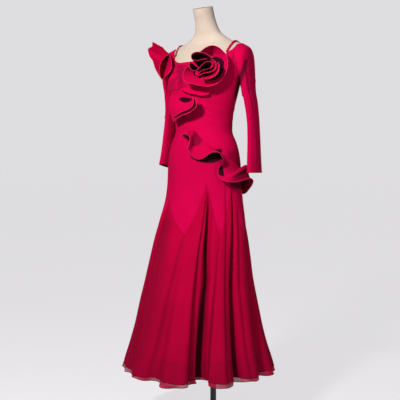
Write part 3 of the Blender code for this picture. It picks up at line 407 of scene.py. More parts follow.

# Painted deep shade under the hip ruffle: strength, softness, then across and height of each corner
HIP_SHADE = (
    (1, 0.004, -0.085, 1.194, -0.077, 1.196, -0.066, 1.19, -0.056, 1.181, -0.06, 1.174, -0.074, 1.177,
        -0.085, 1.187),
    (0.95, 0.005, -0.052, 1.156, -0.044, 1.138, -0.039, 1.122, -0.054, 1.121, -0.064, 1.128, -0.056,
        1.142),
    (1, 0.005, -0.05, 1.1, -0.034, 1.09, 0.008, 1.079, 0.036, 1.08, 0.059, 1.087, 0.07, 1.098, 0.07,
        1.135, -0.05, 1.13),
    (0.42, 0.024, 0.092, 1.126, 0.125, 1.132, 0.15, 1.072, 0.146, 1.044, 0.11, 1.066, 0.086, 1.09),
    (0.85, 0.01, 0.092, 1.02, 0.104, 0.99, 0.128, 0.978, 0.16, 0.975, 0.19, 0.985, 0.19, 1.03, 0.1,
        1.03),
)

# Painted shade between the wearer's left sleeve and the bodice, in the same columns
ARM_SHADE = (
    (0.85, 0.012, 0.158, 1.484, 0.172, 1.486, 0.162, 1.436, 0.147, 1.388, 0.136, 1.344, 0.116, 1.332,
        0.124, 1.38, 0.136, 1.42),
)

# Painted shade on the drape beside the rose, in the same columns
DRAPE_SHADE = (
    (0.48, 0.022, -0.109, 1.476, -0.078, 1.47, -0.072, 1.438, -0.076, 1.395, -0.091, 1.371, -0.103,
        1.395, -0.107, 1.438),
)

# Painted shade on the hip ruffle itself, in the same columns
HIP_RUFFLE_SHADE = (
    (0.55, 0.008, -0.044, 1.206, -0.016, 1.208, -0.004, 1.19, -0.006, 1.165, -0.022, 1.146, -0.044,
        1.146, -0.046, 1.17, -0.04, 1.19),
    (0.75, 0.004, -0.018, 1.203, -0.011, 1.2, -0.006, 1.185, -0.008, 1.168, -0.014, 1.166, -0.011,
        1.185),
    (1, 0.003, 0.066, 1.09, 0.0555, 1.0523, 0.0574, 1.033, 0.0794, 1.0272, 0.0717, 1.0716),
    (0.92, 0.005, 0.1053, 1.0234, 0.1489, 1.0523, 0.174, 1.0666, 0.1817, 1.06, 0.1585, 1.0376, 0.1199,
        1.025),
    (0.3, 0.014, 0.072, 1.12, 0.092, 1.112, 0.12, 1.085, 0.132, 1.062, 0.126, 1.046, 0.096, 1.04,
        0.078, 1.07),
)

# Fold that stands up in the hip ruffle's end: root_angle, share of the depth where its ridge lies, rise
HIP_LOBE = (
    (70, 0.96, 0), (76, 0.84, 0.014), (82, 0.72, 0.024), (88, 0.62, 0.032), (94, 0.56, 0.036),
    (100, 0.52, 0.026), (105, 0.5, 0.008), (110, 0.5, 0),
)
HIP_LOBE_WIDTH = 0.15
HIP_TROUGH_BEYOND = 0.26
HIP_TROUGH_WIDTH = 0.13

# Sleeve creases: start turn, start share of its length, end turn, end share, half width, depth
SLEEVE_CREASES = (
    (150, 0, 120, 0.62, 0.004, 0.0034), (60, 0.1, 40, 0.55, 0.005, 0.0026),
    (200, 0.16, 320, 0.24, 0.005, 0.0026), (70, 0.3, 160, 0.34, 0.0045, 0.002),
    (200, 0.4, 300, 0.45, 0.005, 0.0024), (40, 0.52, 130, 0.56, 0.0045, 0.0018),
    (30, 0.66, 20, 0.98, 0.006, 0.002), (210, 0.6, 230, 0.98, 0.006, 0.0022),
)
SLEEVE_RINGS = 96
SLEEVE_COLUMNS = 72

# How finely the panels are meshed
GORE_COLUMNS = 56
GORE_ROWS = 34
GODET_COLUMNS = 64
SKIRT_ROWS = 96
BODICE_ROWS = 60
RUFFLE_ROWS = 16
ROLLED_EDGE = 0.0011


def wrapped(angle):
    return (angle + 180.0) % 360.0 - 180.0


def unit(vectors):
    return vectors / np.maximum(np.linalg.norm(vectors, axis=-1, keepdims=True), 1e-12)


def steps(count):
    return np.linspace(0.0, 1.0, count)


def fallen(top, height):
    """Share of the way from a fold's top down to the hem."""
    return np.maximum((top - height) / (top - HEM_HEIGHT), 0.0)


def bell(offset, width):
    return np.exp(-((offset / width) ** 2))


def fold_angle(start, half_way, hem, top, height):
    """Angle of a fold at this height: it bends half way down the skirt."""
    middle = (SKIRT_LEVELS[-1] + HEM_HEIGHT) / 2
    upper = start + (half_way - start) * np.clip((top - height) / (top - middle), 0.0, 1.0)
    return upper + (hem - half_way) * np.maximum((middle - height) / (middle - HEM_HEIGHT), 0.0)


def eased(t):
    t = np.clip(t, 0.0, 1.0)
    return t * t * (3 - 2 * t)


def skirt_lean(angle, height):
    """How far round the cloth of a leaning flute is carried, towards the valley beside it."""
    share = np.clip((0.90 - height) / (0.90 - HEM_HEIGHT), 0.0, 1.1)
    lean = 0.0
    for at, half, most in LEANING_FLUTES:
        lean = lean + most * share**1.5 * bell(wrapped(angle - at), half)
    return lean


def skirt_valley(angle, height):
    depth = 0.0 * angle
    for top_angle, hem_angle, before, after, at_hem, top in VALLEYS:
        share = fallen(top, height)
        turn = wrapped(angle - (top_angle + (hem_angle - top_angle) * share))
        width = np.where(turn < 0, before, after)
        depth = depth + at_hem * share**1.25 * bell(turn, width)
    return depth


def skirt_crease(angle, height):
    """Folds between the main flutes: a steep side, then an easy rise back to the next flute."""
    rise = 0.0 * angle
    for start, half_way, hem, top, depth, steep, easy in SKIRT_FOLDS:
        share = fallen(top, height)
        turn = wrapped(angle - fold_angle(start, half_way, hem, top, height)) * np.sign(steep)
        steep = abs(steep)
        inside = np.where(turn < 0, bell(turn, steep), bell(turn, easy))
        lip = 0.22 * bell(turn + 2.6 * steep, 1.8 * steep)
        grown = eased(share / 0.12) * (0.35 + 0.65 * share)
        rise = rise - depth * grown * (inside - lip)
    return rise


def cup_rise(angle, height):
    rise = 0.0 * angle
    for cup_angle, cup_height, half_angle, half_height, depth in CUPS:
        turn = wrapped(angle - cup_angle) / half_angle
        lift = (height - cup_height) / half_height
        rise = rise + depth * np.exp(-turn * turn - lift * lift)
    return rise


def on_figure(angle, height, off=0.0):
    angle, height = np.broadcast_arrays(np.asarray(angle, float), np.asarray(height, float))
    half_width, front, back, centre_x, centre_y = np.moveaxis(FIGURE(height), -1, 0)
    side, ahead = np.sin(np.radians(angle)), np.cos(np.radians(angle))
    grow = off + cup_rise(angle, height) - skirt_valley(angle, height)
    depth = np.where(ahead > 0, front, back)
    x, y = centre_x + (half_width + grow) * side, centre_y - (depth + grow) * ahead
    return np.stack((x, y, height), axis=-1)


def figure_normal(angle, height):
    turn, rise = 0.4, 0.0015
    round_it = on_figure(angle + turn, height) - on_figure(angle - turn, height)
    up_it = on_figure(angle, height + rise) - on_figure(angle, height - rise)
    return unit(np.cross(round_it, up_it))


def faced(across, height, out):
    across, height, out = np.broadcast_arrays(across, height, out)
    x = across * FACING_COS + out * FACING_SIN
    y = AXIS_Y + across * FACING_SIN - out * FACING_COS
    return np.stack((x, y, height), axis=-1)


def halved(low, high, too_low):
    """The place between low and high up to which too_low holds."""
    for _ in range(HALVINGS):
        middle = (low + high) / 2
        if too_low(middle):
            low = middle
        else:
            high = middle
    return (low + high) / 2


def angle_facing(across, height):
    return halved(FACING - 88.0, FACING + 88.0, lambda at: seen_place(on_figure(at, height))[0] < across)


def seam_height(angle):
    return SEAM_MIDDLE + SEAM_SLANT * np.cos(np.radians(angle - SEAM_HIGH_ANGLE))


def resampled(points, count, measured=3):
    """Points at even steps along a line. Its first columns, as many as measured, are its place."""
    points = np.array(points, float)
    lengths = np.linalg.norm(np.diff(points[:, :measured], axis=0), axis=1)
    along = np.concatenate([[0.0], np.cumsum(lengths)])
    return Curve(np.column_stack([along, points]))(np.linspace(0.0, along[-1], count))


def line_creases(u, v, table, scale):
    """Troughs along short lines. u is in degrees and v in its own unit, which scale turns into metres."""
    rise = 0.0 * u
    for u0, v0, u1, v1, half, depth in table:
        run = np.array((wrapped(u1 - u0) * scale[0], (v1 - v0) * scale[1]))
        length = float(np.hypot(*run))
        run = run / length
        du, dv = wrapped(u - u0) * scale[0], (v - v0) * scale[1]
        along = (du * run[0] + dv * run[1]) / length
        aside = -du * run[1] + dv * run[0]
        taper = eased(along / 0.25) * eased((1.0 - along) / 0.35)
        lip = 0.55 * bell(aside - 2.2 * half, 1.2 * half)
        wave = bell(aside, half) - lip
        rise = rise - depth * taper * wave
    return rise


def seen_place(points):
    """Across and height of points as seen from the front left, as the ruffles' tables have them."""
    return points[..., 0] * FACING_COS + (points[..., 1] - AXIS_Y) * FACING_SIN, points[..., 2]


def inward(points):
    """How far points lie inside a shape, or outside it where negative, in metres."""
    across, height = seen_place(points)

    def depth(corners):
        corners = np.reshape(corners, (-1, 2)).astype(float)
        nearest = np.full(across.shape, 1e9)
        inside = np.zeros(across.shape, bool)
        for (x0, z0), (x1, z1) in zip(corners, np.roll(corners, -1, axis=0)):
            run, rise = x1 - x0, z1 - z0
            share = np.clip(((across - x0) * run + (height - z0) * rise) / (run * run + rise * rise), 0, 1)
            nearest = np.minimum(nearest, np.hypot(across - x0 - share * run, height - z0 - share * rise))
            crosses = (z0 > height) != (z1 > height)
            level = rise if rise else 1e-12
            inside ^= crosses & (across < x0 + run * (height - z0) / level)
        return np.where(inside, nearest, -nearest)

    return depth


def shaded(points, shapes, facing_only=True):
    """How deep in painted shade points lie, from a table of shapes: strength, softness, corners."""
    depth = inward(points)
    shade = np.zeros(points.shape[:-1])
    for strength, soft, *corners in shapes:
        shade = np.maximum(shade, strength * eased(depth(corners) / soft + 0.5))
    if facing_only:
        ahead = points[..., 0] * FACING_SIN - (points[..., 1] - AXIS_Y) * FACING_COS
        shade = shade * (ahead > 0)
    return shade


def pressed(grid, hollows):
    """Presses almond hollows into a piece and says how much shade is painted at each point."""
    forward = np.array((FACING_SIN, -FACING_COS, 0.0))
    across, height = seen_place(grid)
    shade = np.zeros(grid.shape[:2])
    for at_across, at_height, half_length, half_height, slant, depth, dark in hollows:
        lean = math.radians(slant)
        du, dv = across - at_across, height - at_height
        u = (du * math.cos(lean) + dv * math.sin(lean)) / half_length
        v = (dv * math.cos(lean) - du * math.sin(lean)) / half_height
        room = np.clip(1 - u * u, 0, 1) - np.abs(v)
        level = eased(room * 2.2 + 0.15) * (np.abs(u) < 1)
        grid = grid - forward * (depth * level)[..., None]
        shade = np.maximum(shade, dark * eased(room * 3.5 + 0.2) * (np.abs(u) < 1))
    return grid, shade


# Materials

def node_material(name):
    made = bpy.data.materials.new(name)
    made.use_nodes = True
    return made, made.node_tree, made.node_tree.nodes["Principled BSDF"]


def add_node(tree, kind, **values):
    node = tree.nodes.new(kind)
    for key, value in values.items():
        setattr(node, key, value)
    return node


def mixed_colour(tree, factor, low, high):
    mix = add_node(tree, "ShaderNodeMix", data_type="RGBA")
    tree.links.new(factor, mix.inputs[0])
    for socket, value in ((mix.inputs[6], low), (mix.inputs[7], high)):
        if isinstance(value, tuple):
            socket.default_value = (*value, 1.0)
        else:
            tree.links.new(value, socket)
    return mix.outputs[2]


def fill(tree, node, **values):
    """Sets a node's inputs, or links them where the value is an output of another node."""
    for key, value in values.items():
        socket = node.inputs[key.replace("_", " ")]
        if isinstance(value, bpy.types.NodeSocket):
            tree.links.new(value, socket)
        else:
            socket.default_value = value
    return node


def noise(tree, scale, detail):
    place = add_node(tree, "ShaderNodeTexCoord").outputs["Object"]
    node = add_node(tree, "ShaderNodeTexNoise")
    return fill(tree, node, Scale=scale, Detail=detail, Vector=place).outputs["Fac"]


def ranged(tree, value, start=0.0, end=1.0, low=0.0, high=1.0):
    """Maps a value from the range start to end onto the range low to high."""
    node = add_node(tree, "ShaderNodeMapRange")
    fill(tree, node, From_Min=start, From_Max=end, To_Min=low, To_Max=high, Value=value)
    return node.outputs["Result"]


def finish_material(tree, shader, fine, roughness, spread, bump, depth, **values):
    """Roughness and relief from the fine noise, and the shader's other values."""
    relief = fill(tree, add_node(tree, "ShaderNodeBump"), Strength=bump, Distance=depth, Height=fine)
    rough = ranged(tree, fine, low=roughness - spread, high=roughness + spread)
    fill(tree, shader, Roughness=rough, Normal=relief.outputs["Normal"], **values)


def cloth_material(name, lit, shade, deep, roughness, sheen=0.0, grain=1500.0, bump=0.10):
    """Matt crepe: fine grain, soft patches of tone, and painted shade where the shade attribute marks
    folds, hollows and shadows.
    """
    made, tree, shader = node_material(name)
    tone = mixed_colour(tree, ranged(tree, noise(tree, 9.0, 3.0), 0.35, 0.65), lit, shade)
    threads = noise(tree, grain, 2.0)
    tone = mixed_colour(tree, ranged(tree, threads, 0.3, 0.7, 0.0, 0.22), tone, deep)
    # Painted shade: the shade attribute mixes the tone towards the dark end
    depth = add_node(tree, "ShaderNodeAttribute", attribute_name="shade")
    tone = mixed_colour(tree, depth.outputs["Fac"], tone, deep)
    finish_material(tree, shader, threads, roughness, 0.07, bump, 0.0004, Base_Color=tone,
                    Sheen_Weight=sheen, Sheen_Roughness=0.45, Sheen_Tint=(*ROSE_TINT, 1.0),
                    Specular_IOR_Level=0.02)
    return made


def sheer_material(name, colour, alpha):
    made, tree, shader = node_material(name)
    threads = noise(tree, 1800.0, 1.0)
    tone = mixed_colour(tree, threads, colour, tuple(c * 0.72 for c in colour))
    opening = ranged(tree, noise(tree, 14.0, 1.0), 0.35, 0.65, alpha - 0.22, alpha + 0.16)
    fill(tree, shader, Base_Color=tone, Alpha=opening, Roughness=0.42, Specular_IOR_Level=0.1)
    return made


def plain_material(name, colour, other, scale, roughness, metallic, bump, sheen=0.0):
    made, tree, shader = node_material(name)
    fine = noise(tree, scale, 3.0)
    tone = mixed_colour(tree, fine, colour, other)
    finish_material(tree, shader, fine, roughness, 0.06, bump, 0.0003, Base_Color=tone, Metallic=metallic,
                    Sheen_Weight=sheen)
    return made


CRIMSON = (0.66, 0.0, 0.068)
CRIMSON_LOW = (0.59, 0.0, 0.058)
# CRIMSON_DEEP and NEAR_BLACK: dark ends that the fine grain darkens a little towards and that the painted
# shade mixes towards
CRIMSON_DEEP = (0.055, 0.0, 0.010)
GODET_TONE = (0.53, 0.0, 0.042)
GODET_TONE_LOW = (0.48, 0.0, 0.036)
MAROON = (0.110, 0.001, 0.022)
MAROON_LOW = (0.050, 0.003, 0.011)
NEAR_BLACK = (0.030, 0.003, 0.011)
ROSE_TINT = (1.0, 0.16, 0.30)
ROLLED, ROLLED_LOW = (0.70, 0.03, 0.12), (0.55, 0.01, 0.07)
HEM_THREAD, HEM_THREAD_LOW = (0.24, 0.001, 0.022), (0.18, 0.001, 0.016)
LINEN, LINEN_LOW = (0.62, 0.52, 0.42), (0.57, 0.475, 0.38)
CAP, CAP_LOW = (0.50, 0.30, 0.20), (0.42, 0.24, 0.15)
STEEL, STEEL_LIT = (0.012, 0.012, 0.013), (0.022, 0.022, 0.024)
FLOOR, FLOOR_LOW = (0.34, 0.33, 0.34), (0.32, 0.31, 0.32)

crepe = cloth_material("crimson_crepe", CRIMSON, CRIMSON_LOW, CRIMSON_DEEP, 0.82)
chiffon = cloth_material("godet_chiffon", GODET_TONE, GODET_TONE_LOW, NEAR_BLACK, 0.86, 0.0, 2200.0, 0.16)
petal = cloth_material("rose_crepe", CRIMSON, CRIMSON_LOW, NEAR_BLACK, 0.80)
reverse = cloth_material("maroon_reverse", MAROON, MAROON_LOW, NEAR_BLACK, 0.75, 0.05)
rolled = cloth_material("rolled_edge_thread", ROLLED, ROLLED_LOW, CRIMSON_DEEP, 0.45, 0.5)
hem_thread = cloth_material("hem_thread", HEM_THREAD, HEM_THREAD_LOW, CRIMSON_DEEP, 0.5, 0.2)
organza = sheer_material("organza_sheer", (0.50, 0.004, 0.055), 0.80)
linen = plain_material("form_linen", LINEN, LINEN_LOW, 900.0, 0.78, 0.0, 0.12, 0.15)
cap = plain_material("neck_cap", CAP, CAP_LOW, 60.0, 0.6, 0.0, 0.05)
steel = plain_material("black_steel_paint", STEEL, STEEL_LIT, 300.0, 0.38, 0.3, 0.05)
floor_paint = plain_material("studio_floor", FLOOR, FLOOR_LOW, 3.0, 0.85, 0.0, 0.0)
fill(floor_paint.node_tree, floor_paint.node_tree.nodes["Principled BSDF"],
     Emission_Color=(*STUDIO_TONE, 1.0), Emission_Strength=FLOOR_GLOW)


# Meshes

def placed(name, data):
    piece = bpy.data.objects.new(name, data)
    bpy.context.scene.collection.objects.link(piece)
    return piece


def add_mesh(name, points, faces, looks, face_looks=None, shade=None, ride=True):
    mesh = bpy.data.meshes.new(name)
    mesh.from_pydata(np.asarray(points, float).tolist(), [], faces)
    for look in looks:
        mesh.materials.append(look)
    if face_looks is not None:
        mesh.polygons.foreach_set("material_index", np.asarray(face_looks, np.int32))
    mesh.polygons.foreach_set("use_smooth", np.ones(len(mesh.polygons), bool))
    # Painted shade for each point, read by the cloth materials as the shade attribute
    dark = mesh.attributes.new("shade", "FLOAT", "POINT")
    values = np.zeros(len(mesh.vertices)) if shade is None else np.asarray(shade, float)
    dark.data.foreach_set("value", values.astype(np.float32))
    mesh.update()
    piece = placed(name, mesh)
    if ride:
        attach(piece, "root")
    return piece


def grid_normals(grid, closed=False):
    along = np.gradient(grid, axis=1)
    if closed:
        along = (np.roll(grid, -1, axis=1) - np.roll(grid, 1, axis=1)) / 2
    return unit(np.cross(along, np.gradient(grid, axis=0)))


def shell(name, grid, front=None, back=None, edge=None, cloth=RUFFLE_CLOTH, closed=False, shade=None,
          back_shade=None, normals=None, slot="crimson_cloth"):
    """A thin cloth shell on a grid of points, with a finish for its face, its reverse and its cut edges."""
    front, back = front or crepe, back or crepe
    edge = edge or front
    rows, columns = grid.shape[:2]
    normal = grid_normals(grid, closed) if normals is None else normals
    outer, inner = grid + normal * cloth / 2, grid - normal * cloth / 2
    points = np.concatenate([outer.reshape(-1, 3), inner.reshape(-1, 3)])
    number = rows * columns
    faces, looks = [], []
    spans = columns if closed else columns - 1
    for i in range(rows - 1):
        for j in range(spans):
            a, b = i * columns + j, i * columns + (j + 1) % columns
            c, d = b + columns, a + columns
            faces += [(a, b, c, d), (number + a, number + d, number + c, number + b)]
            looks += [0, 1]
    top = (rows - 1) * columns
    for j in range(spans):
        k = (j + 1) % columns
        faces += [(j, number + j, number + k, k), (top + j, top + k, number + top + k, number + top + j)]
        looks += [2, 2]
    for i in range(0 if closed else rows - 1):
        a, b = i * columns, (i + 1) * columns
        faces.append((a, b, number + b, number + a))
        a, b = a + columns - 1, b + columns - 1
        faces.append((a, number + a, number + b, b))
        looks += [2, 2]
    # Painted shade on the face and on the reverse
    dark = np.zeros((rows, columns)) if shade is None else shade
    back_dark = dark if back_shade is None else back_shade
    both = np.concatenate([np.ravel(dark), np.ravel(back_dark)])
    piece = add_mesh(name, points, faces, [front, back, edge], looks, both)
    piece.data.edges.foreach_set("use_edge_sharp", sharp_edges(piece.data, looks))
    return piece


def sharp_edges(mesh, looks):
    """Edges where a face of the cloth meets its cut edge."""
    seen = {}
    for polygon in mesh.polygons:
        for key in polygon.edge_keys:
            seen.setdefault(key, set()).add(looks[polygon.index])
    return np.array([len(seen[tuple(sorted(e.vertices))]) > 1 for e in mesh.edges], bool)


def cloth_area(grid, closed=False):
    if closed:
        grid = np.concatenate([grid, grid[:, :1]], axis=1)
    a, b, c, d = grid[:-1, :-1], grid[:-1, 1:], grid[1:, 1:], grid[1:, :-1]
    halves = [np.linalg.norm(np.cross(p - a, q - a), axis=2) for p, q in ((b, c), (c, d))]
    return float((halves[0] + halves[1]).sum() / 2)


def declare(grid, closed=False):
    """Works out the piece's cut width, length and area, and does nothing more with them."""
    round_grid = np.concatenate([grid, grid[:, :1]], axis=1) if closed else grid
    width = float(np.linalg.norm(np.diff(round_grid, axis=1), axis=2).sum(axis=1).max())
    length = float(np.linalg.norm(np.diff(round_grid, axis=0), axis=2).sum(axis=0).max())
    area = cloth_area(grid, closed)
    area = min(max(area, 0.301 * width * length), width * length)


def sewn_piece(node, grid, *looks, held="gathered", rests_on="bodice_front_cloth", edges=None, **more):
    """A shell in place of a node's solid. Edges say which rows have a rolled edge."""
    piece = shell(f"{node}_cloth", grid, *looks, **more)
    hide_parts(node)
    rims = [rolled_edge(name, grid[row]) for name, row in (edges or {}).items()]
    declare(grid, more.get("closed", False))


def rolled_edge(name, line, radius=ROLLED_EDGE, look=None, closed=False, sides=6):
    """A fine rolled hem along a free edge."""
    look = look or rolled
    line = np.asarray(line, float)
    tangent = np.gradient(line, axis=0)
    if closed:
        tangent = (np.roll(line, -1, axis=0) - np.roll(line, 1, axis=0)) / 2
    tangent = unit(tangent)
    side = unit(np.cross(tangent, (0.13, 0.21, 0.97)))
    up = np.cross(side, tangent)
    rings = []
    for k in range(sides):
        turn = 2 * math.pi * k / sides
        rings.append(line + radius * (math.cos(turn) * side + math.sin(turn) * up))
    grid = np.stack(rings, axis=1)
    count = len(line)
    faces = []
    for i in range(count if closed else count - 1):
        n = (i + 1) % count
        for k in range(sides):
            m = (k + 1) % sides
            faces.append((i * sides + k, i * sides + m, n * sides + m, n * sides + k))
    if not closed:
        faces += [tuple(range(sides)), tuple(range(count * sides - 1, (count - 1) * sides - 1, -1))]
    return add_mesh(name, grid.reshape(-1, 3), faces, [look])


def panel_grid(angles, heights, detail):
    """The middle of the cloth of a panel that follows the figure."""
    raised = detail(angles, heights) - CLOTH / 2
    return on_figure(angles, heights) + figure_normal(angles, heights) * raised[..., None]


# Skirt

def seam_after_point(index, height):
    """Angle of the seam between two godets, from the point of the gore above it down to the hem."""
    point_angle, hem_angle = GODETS[index % len(GODETS)][2:]
    point = SKIRT_LEVELS[GORE_POINT_LEVEL]
    angle = point_angle + (hem_angle - point_angle) * (point - height) / (point - HEM_HEIGHT)
    return angle + 360.0 * (index // len(GODETS))


def godet_edges(index, height):
    """Angles of a godet's two seams at this height. Above its top both seams are one."""
    top_angle, top_level = GODETS[index][:2]
    top_angle += 360.0 * (index // len(GODETS))
    top, point = SKIRT_LEVELS[top_level], SKIRT_LEVELS[GORE_POINT_LEVEL]
    share = np.clip((top - height) / (top - point), 0.0, 1.0)
    edges = []
    for side, seam in ((-1, index), (1, index + 1)):
        start = top_angle + side * TIP_HALF_ANGLE
        end = seam_after_point(seam, point) - side * TIP_HALF_ANGLE
        above = np.where(height > top, top_angle, start + (end - start) * share)
        edges.append(np.where(height < point, seam_after_point(seam, height), above))
    return edges


def seam_gap(angle, height):
    step = np.linalg.norm(on_figure(angle + 0.5, height) - on_figure(angle - 0.5, height), axis=-1)
    return SEWN / 2 / step


def inset(angles, heights):
    """Moves a panel's first and last columns in by half the gap of a sewn seam."""
    angles[:, 0] += seam_gap(angles[:, 0], heights[:, 0])
    angles[:, -1] -= seam_gap(angles[:, -1], heights[:, -1])


def skirt_grid(angles, heights):
    leaning = angles + skirt_lean(angles, heights)
    normal = figure_normal(leaning, heights)
    rise = skirt_crease(angles, heights) - CLOTH / 2
    return on_figure(leaning, heights) + normal * rise[..., None]


def fold_shade(angle, height):
    """Painted shade deep in the skirt's folds and growing towards the hem, and the darker doubled cloth
    above the hem.
    """
    dark = 0.0 * angle
    for start, half_way, hem, top, strength, before, after in FOLD_PAINTED_SHADE:
        share = fallen(top, height)
        turn = wrapped(angle - fold_angle(start, half_way, hem, top, height))
        width = np.where(turn < 0, before, after) * (0.35 + 0.65 * np.minimum(share * 2, 1.0))
        dark = np.maximum(dark, strength * eased(share / 0.10) * np.exp(-((turn / width) ** 4)))
    low = LOW_SHADE * eased((LOW_SHADE_TOP - height) / LOW_SHADE_TOP)
    return np.maximum(dark, low + HEM_SHADE * eased((HEM_BAND_TOP - height) / 0.004))


def skirt_panel(node, angles, heights, look, held, rests_on):
    grid = skirt_grid(angles, heights)
    # Painted shade under the hip ruffle, in the folds and towards the hem, and the darker doubled cloth
    # above the hem
    dark = np.maximum(shaded(grid, HIP_SHADE), fold_shade(angles, heights))
    sewn_piece(node, grid, look, look, cloth=CLOTH, shade=dark, back_shade=0 * dark, held=held,
               rests_on=rests_on)


def build_skirt():
    hip = SKIRT_LEVELS[-1]
    point = SKIRT_LEVELS[GORE_POINT_LEVEL]
    rows = np.concatenate([np.linspace(point, hip, GORE_ROWS), np.full(GORE_ROWS, hip)])[:, None]
    hip_share = np.concatenate([np.zeros(GORE_ROWS), np.linspace(0, 1, GORE_ROWS + 1)[1:]])[:, None]
    across = steps(GORE_COLUMNS + 1)[None, :]
    for index in range(len(GODETS)):
        heights = rows + 0.0 * across
        for _ in range(5):
            left, right = godet_edges(index - 1, heights)[1], godet_edges(index, heights)[0]
            angles = left + (right - left) * across
            heights = rows + (seam_height(angles) - SEWN / 2 - rows) * hip_share
        inset(angles, heights)
        skirt_panel(f"gore_{index + 1}", angles, heights, petal, "stretched", "dress_form")
    across = steps(GODET_COLUMNS + 1)[None, :]
    for index, godet in enumerate(GODETS):
        heights = np.linspace(HEM_HEIGHT, SKIRT_LEVELS[godet[1]], SKIRT_ROWS)[:, None] + 0.0 * across
        left, right = godet_edges(index, heights[:, :1])
        left, right = left + seam_gap(left, heights[:, :1]), right - seam_gap(right, heights[:, :1])
        angles = left + (right - left) * across
        skirt_panel(f"godet_{index + 1}", angles, heights, chiffon, "hung", f"gore_{index + 1}_cloth")


def build_hem():
    """The sheer strip below the hem, waved, with its dark rolled edge, and the stitched line above it."""
    columns = 1080
    angle = np.linspace(0.0, 360.0, columns, endpoint=False)
    rows = steps(6)[:, None]
    wave = 0.0040 * np.sin(np.radians(angle * 29.0)) + 0.0052 * np.sin(np.radians(angle * 17.0 + 40.0))
    wave = wave * (0.6 + 0.5 * np.sin(np.radians(angle * 3.0 + 25.0)))
    uneven = 0.0042 * np.sin(np.radians(angle * 7.0 + 60.0)) + 0.0026 * np.sin(np.radians(angle * 19.0))
    angles = np.broadcast_to(angle, (6, columns))
    heights = HEM_HEIGHT - SEWN - (BAND_DEPTH - 0.004 + uneven) * (1 - rows)
    grid = skirt_grid(angles, heights) + figure_normal(angles, heights) * ((1 - rows) * wave)[..., None]
    piece = shell("hem_organza", grid, organza, organza, organza, cloth=0.0008, closed=True, slot="organza")
    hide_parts("hem_band")
    edge = rolled_edge("hem_rolled_edge", grid[0], 0.0013, hem_thread, closed=True)
    declare(grid, closed=True)
    for name, up, out, radius, sides in HEM_LINES:
        heights = np.full(columns, HEM_HEIGHT + up)
        line = skirt_grid(angle, heights) + figure_normal(angle, heights) * out
        rolled_edge(name, line, radius, hem_thread, closed=True, sides=sides)


# Bodice

def armhole_place(turn):
    y = ARMHOLE_Y - ARMHOLE_HALF_DEPTH * math.sin(math.radians(turn))
    return y, ARMHOLE_Z + ARMHOLE_HALF_HEIGHT * math.cos(math.radians(turn))


def armhole_angle(turn):
    y, z = armhole_place(turn)
    return halved(1.0, 179.0, lambda at: on_figure(at, z)[1] < y)


def armhole_point(turn, side, off):
    y, z = armhole_place(turn)
    point = on_figure(armhole_angle(turn), z, off)
    return np.array((side * point[0], y, z))


def bodice_detail(angles, heights):
    rise = line_creases(angles, heights, BODICE_CREASES, (0.0026, 1.0))
    princess = 0.0
    for at in (-34.0, 34.0, 146.0, -146.0):
        princess = princess + bell(wrapped(angles - at), 0.9)
    return rise - 0.0007 * princess


def bodice_part(name, neckline, front):
    centre, sense = (0.0, 1.0) if front else (180.0, -1.0)
    turns = np.linspace(180.0, ARMHOLE_NECK_TURN, 22) * sense
    half = [(armhole_angle(turn), armhole_place(turn)[1]) for turn in turns]
    reach = abs(wrapped(half[-1][0] - centre))
    start, end = neckline.keys[0], neckline.keys[-1]
    top = [(-abs(wrapped(a - centre)), z) for a, z in half]
    for share in np.linspace(-1.0, 1.0, 80)[1:-1]:
        top.append((share * reach, float(neckline((start + end) / 2 + share * (end - start) / 2)[0])))
    top += [(abs(wrapped(a - centre)), z) for a, z in reversed(half)]
    top = np.array(top)
    bottoms = np.linspace(-90.0, 90.0, len(top))[None, :]
    share = steps(BODICE_ROWS + 1)[:, None]
    angles = centre + bottoms + (top[None, :, 0] - bottoms) * eased((share - 0.35) / 0.65)
    low = seam_height(angles) + SEWN / 2
    heights = low + (top[None, :, 1] - low) * share
    inset(angles, heights)
    grid = panel_grid(angles, heights, bodice_detail)
    # Painted shade under the hip ruffle and beside the wearer's left sleeve
    dark = shaded(grid, HIP_SHADE + ARM_SHADE)
    sewn_piece(name, grid, petal, petal, cloth=CLOTH, shade=dark, back_shade=0 * dark, held="stretched",
               rests_on="dress_form")


def sleeve_bend(side, height):
    """How far a sleeve's section takes part in the bend of the right forearm, from 0 to 1 at the cuff."""
    if side > 0:
        return 0.0
    return min(max((BENT_SLEEVE_TOP - height) / (BENT_SLEEVE_TOP - SLEEVE[-1][3]), 0.0), 1.0)


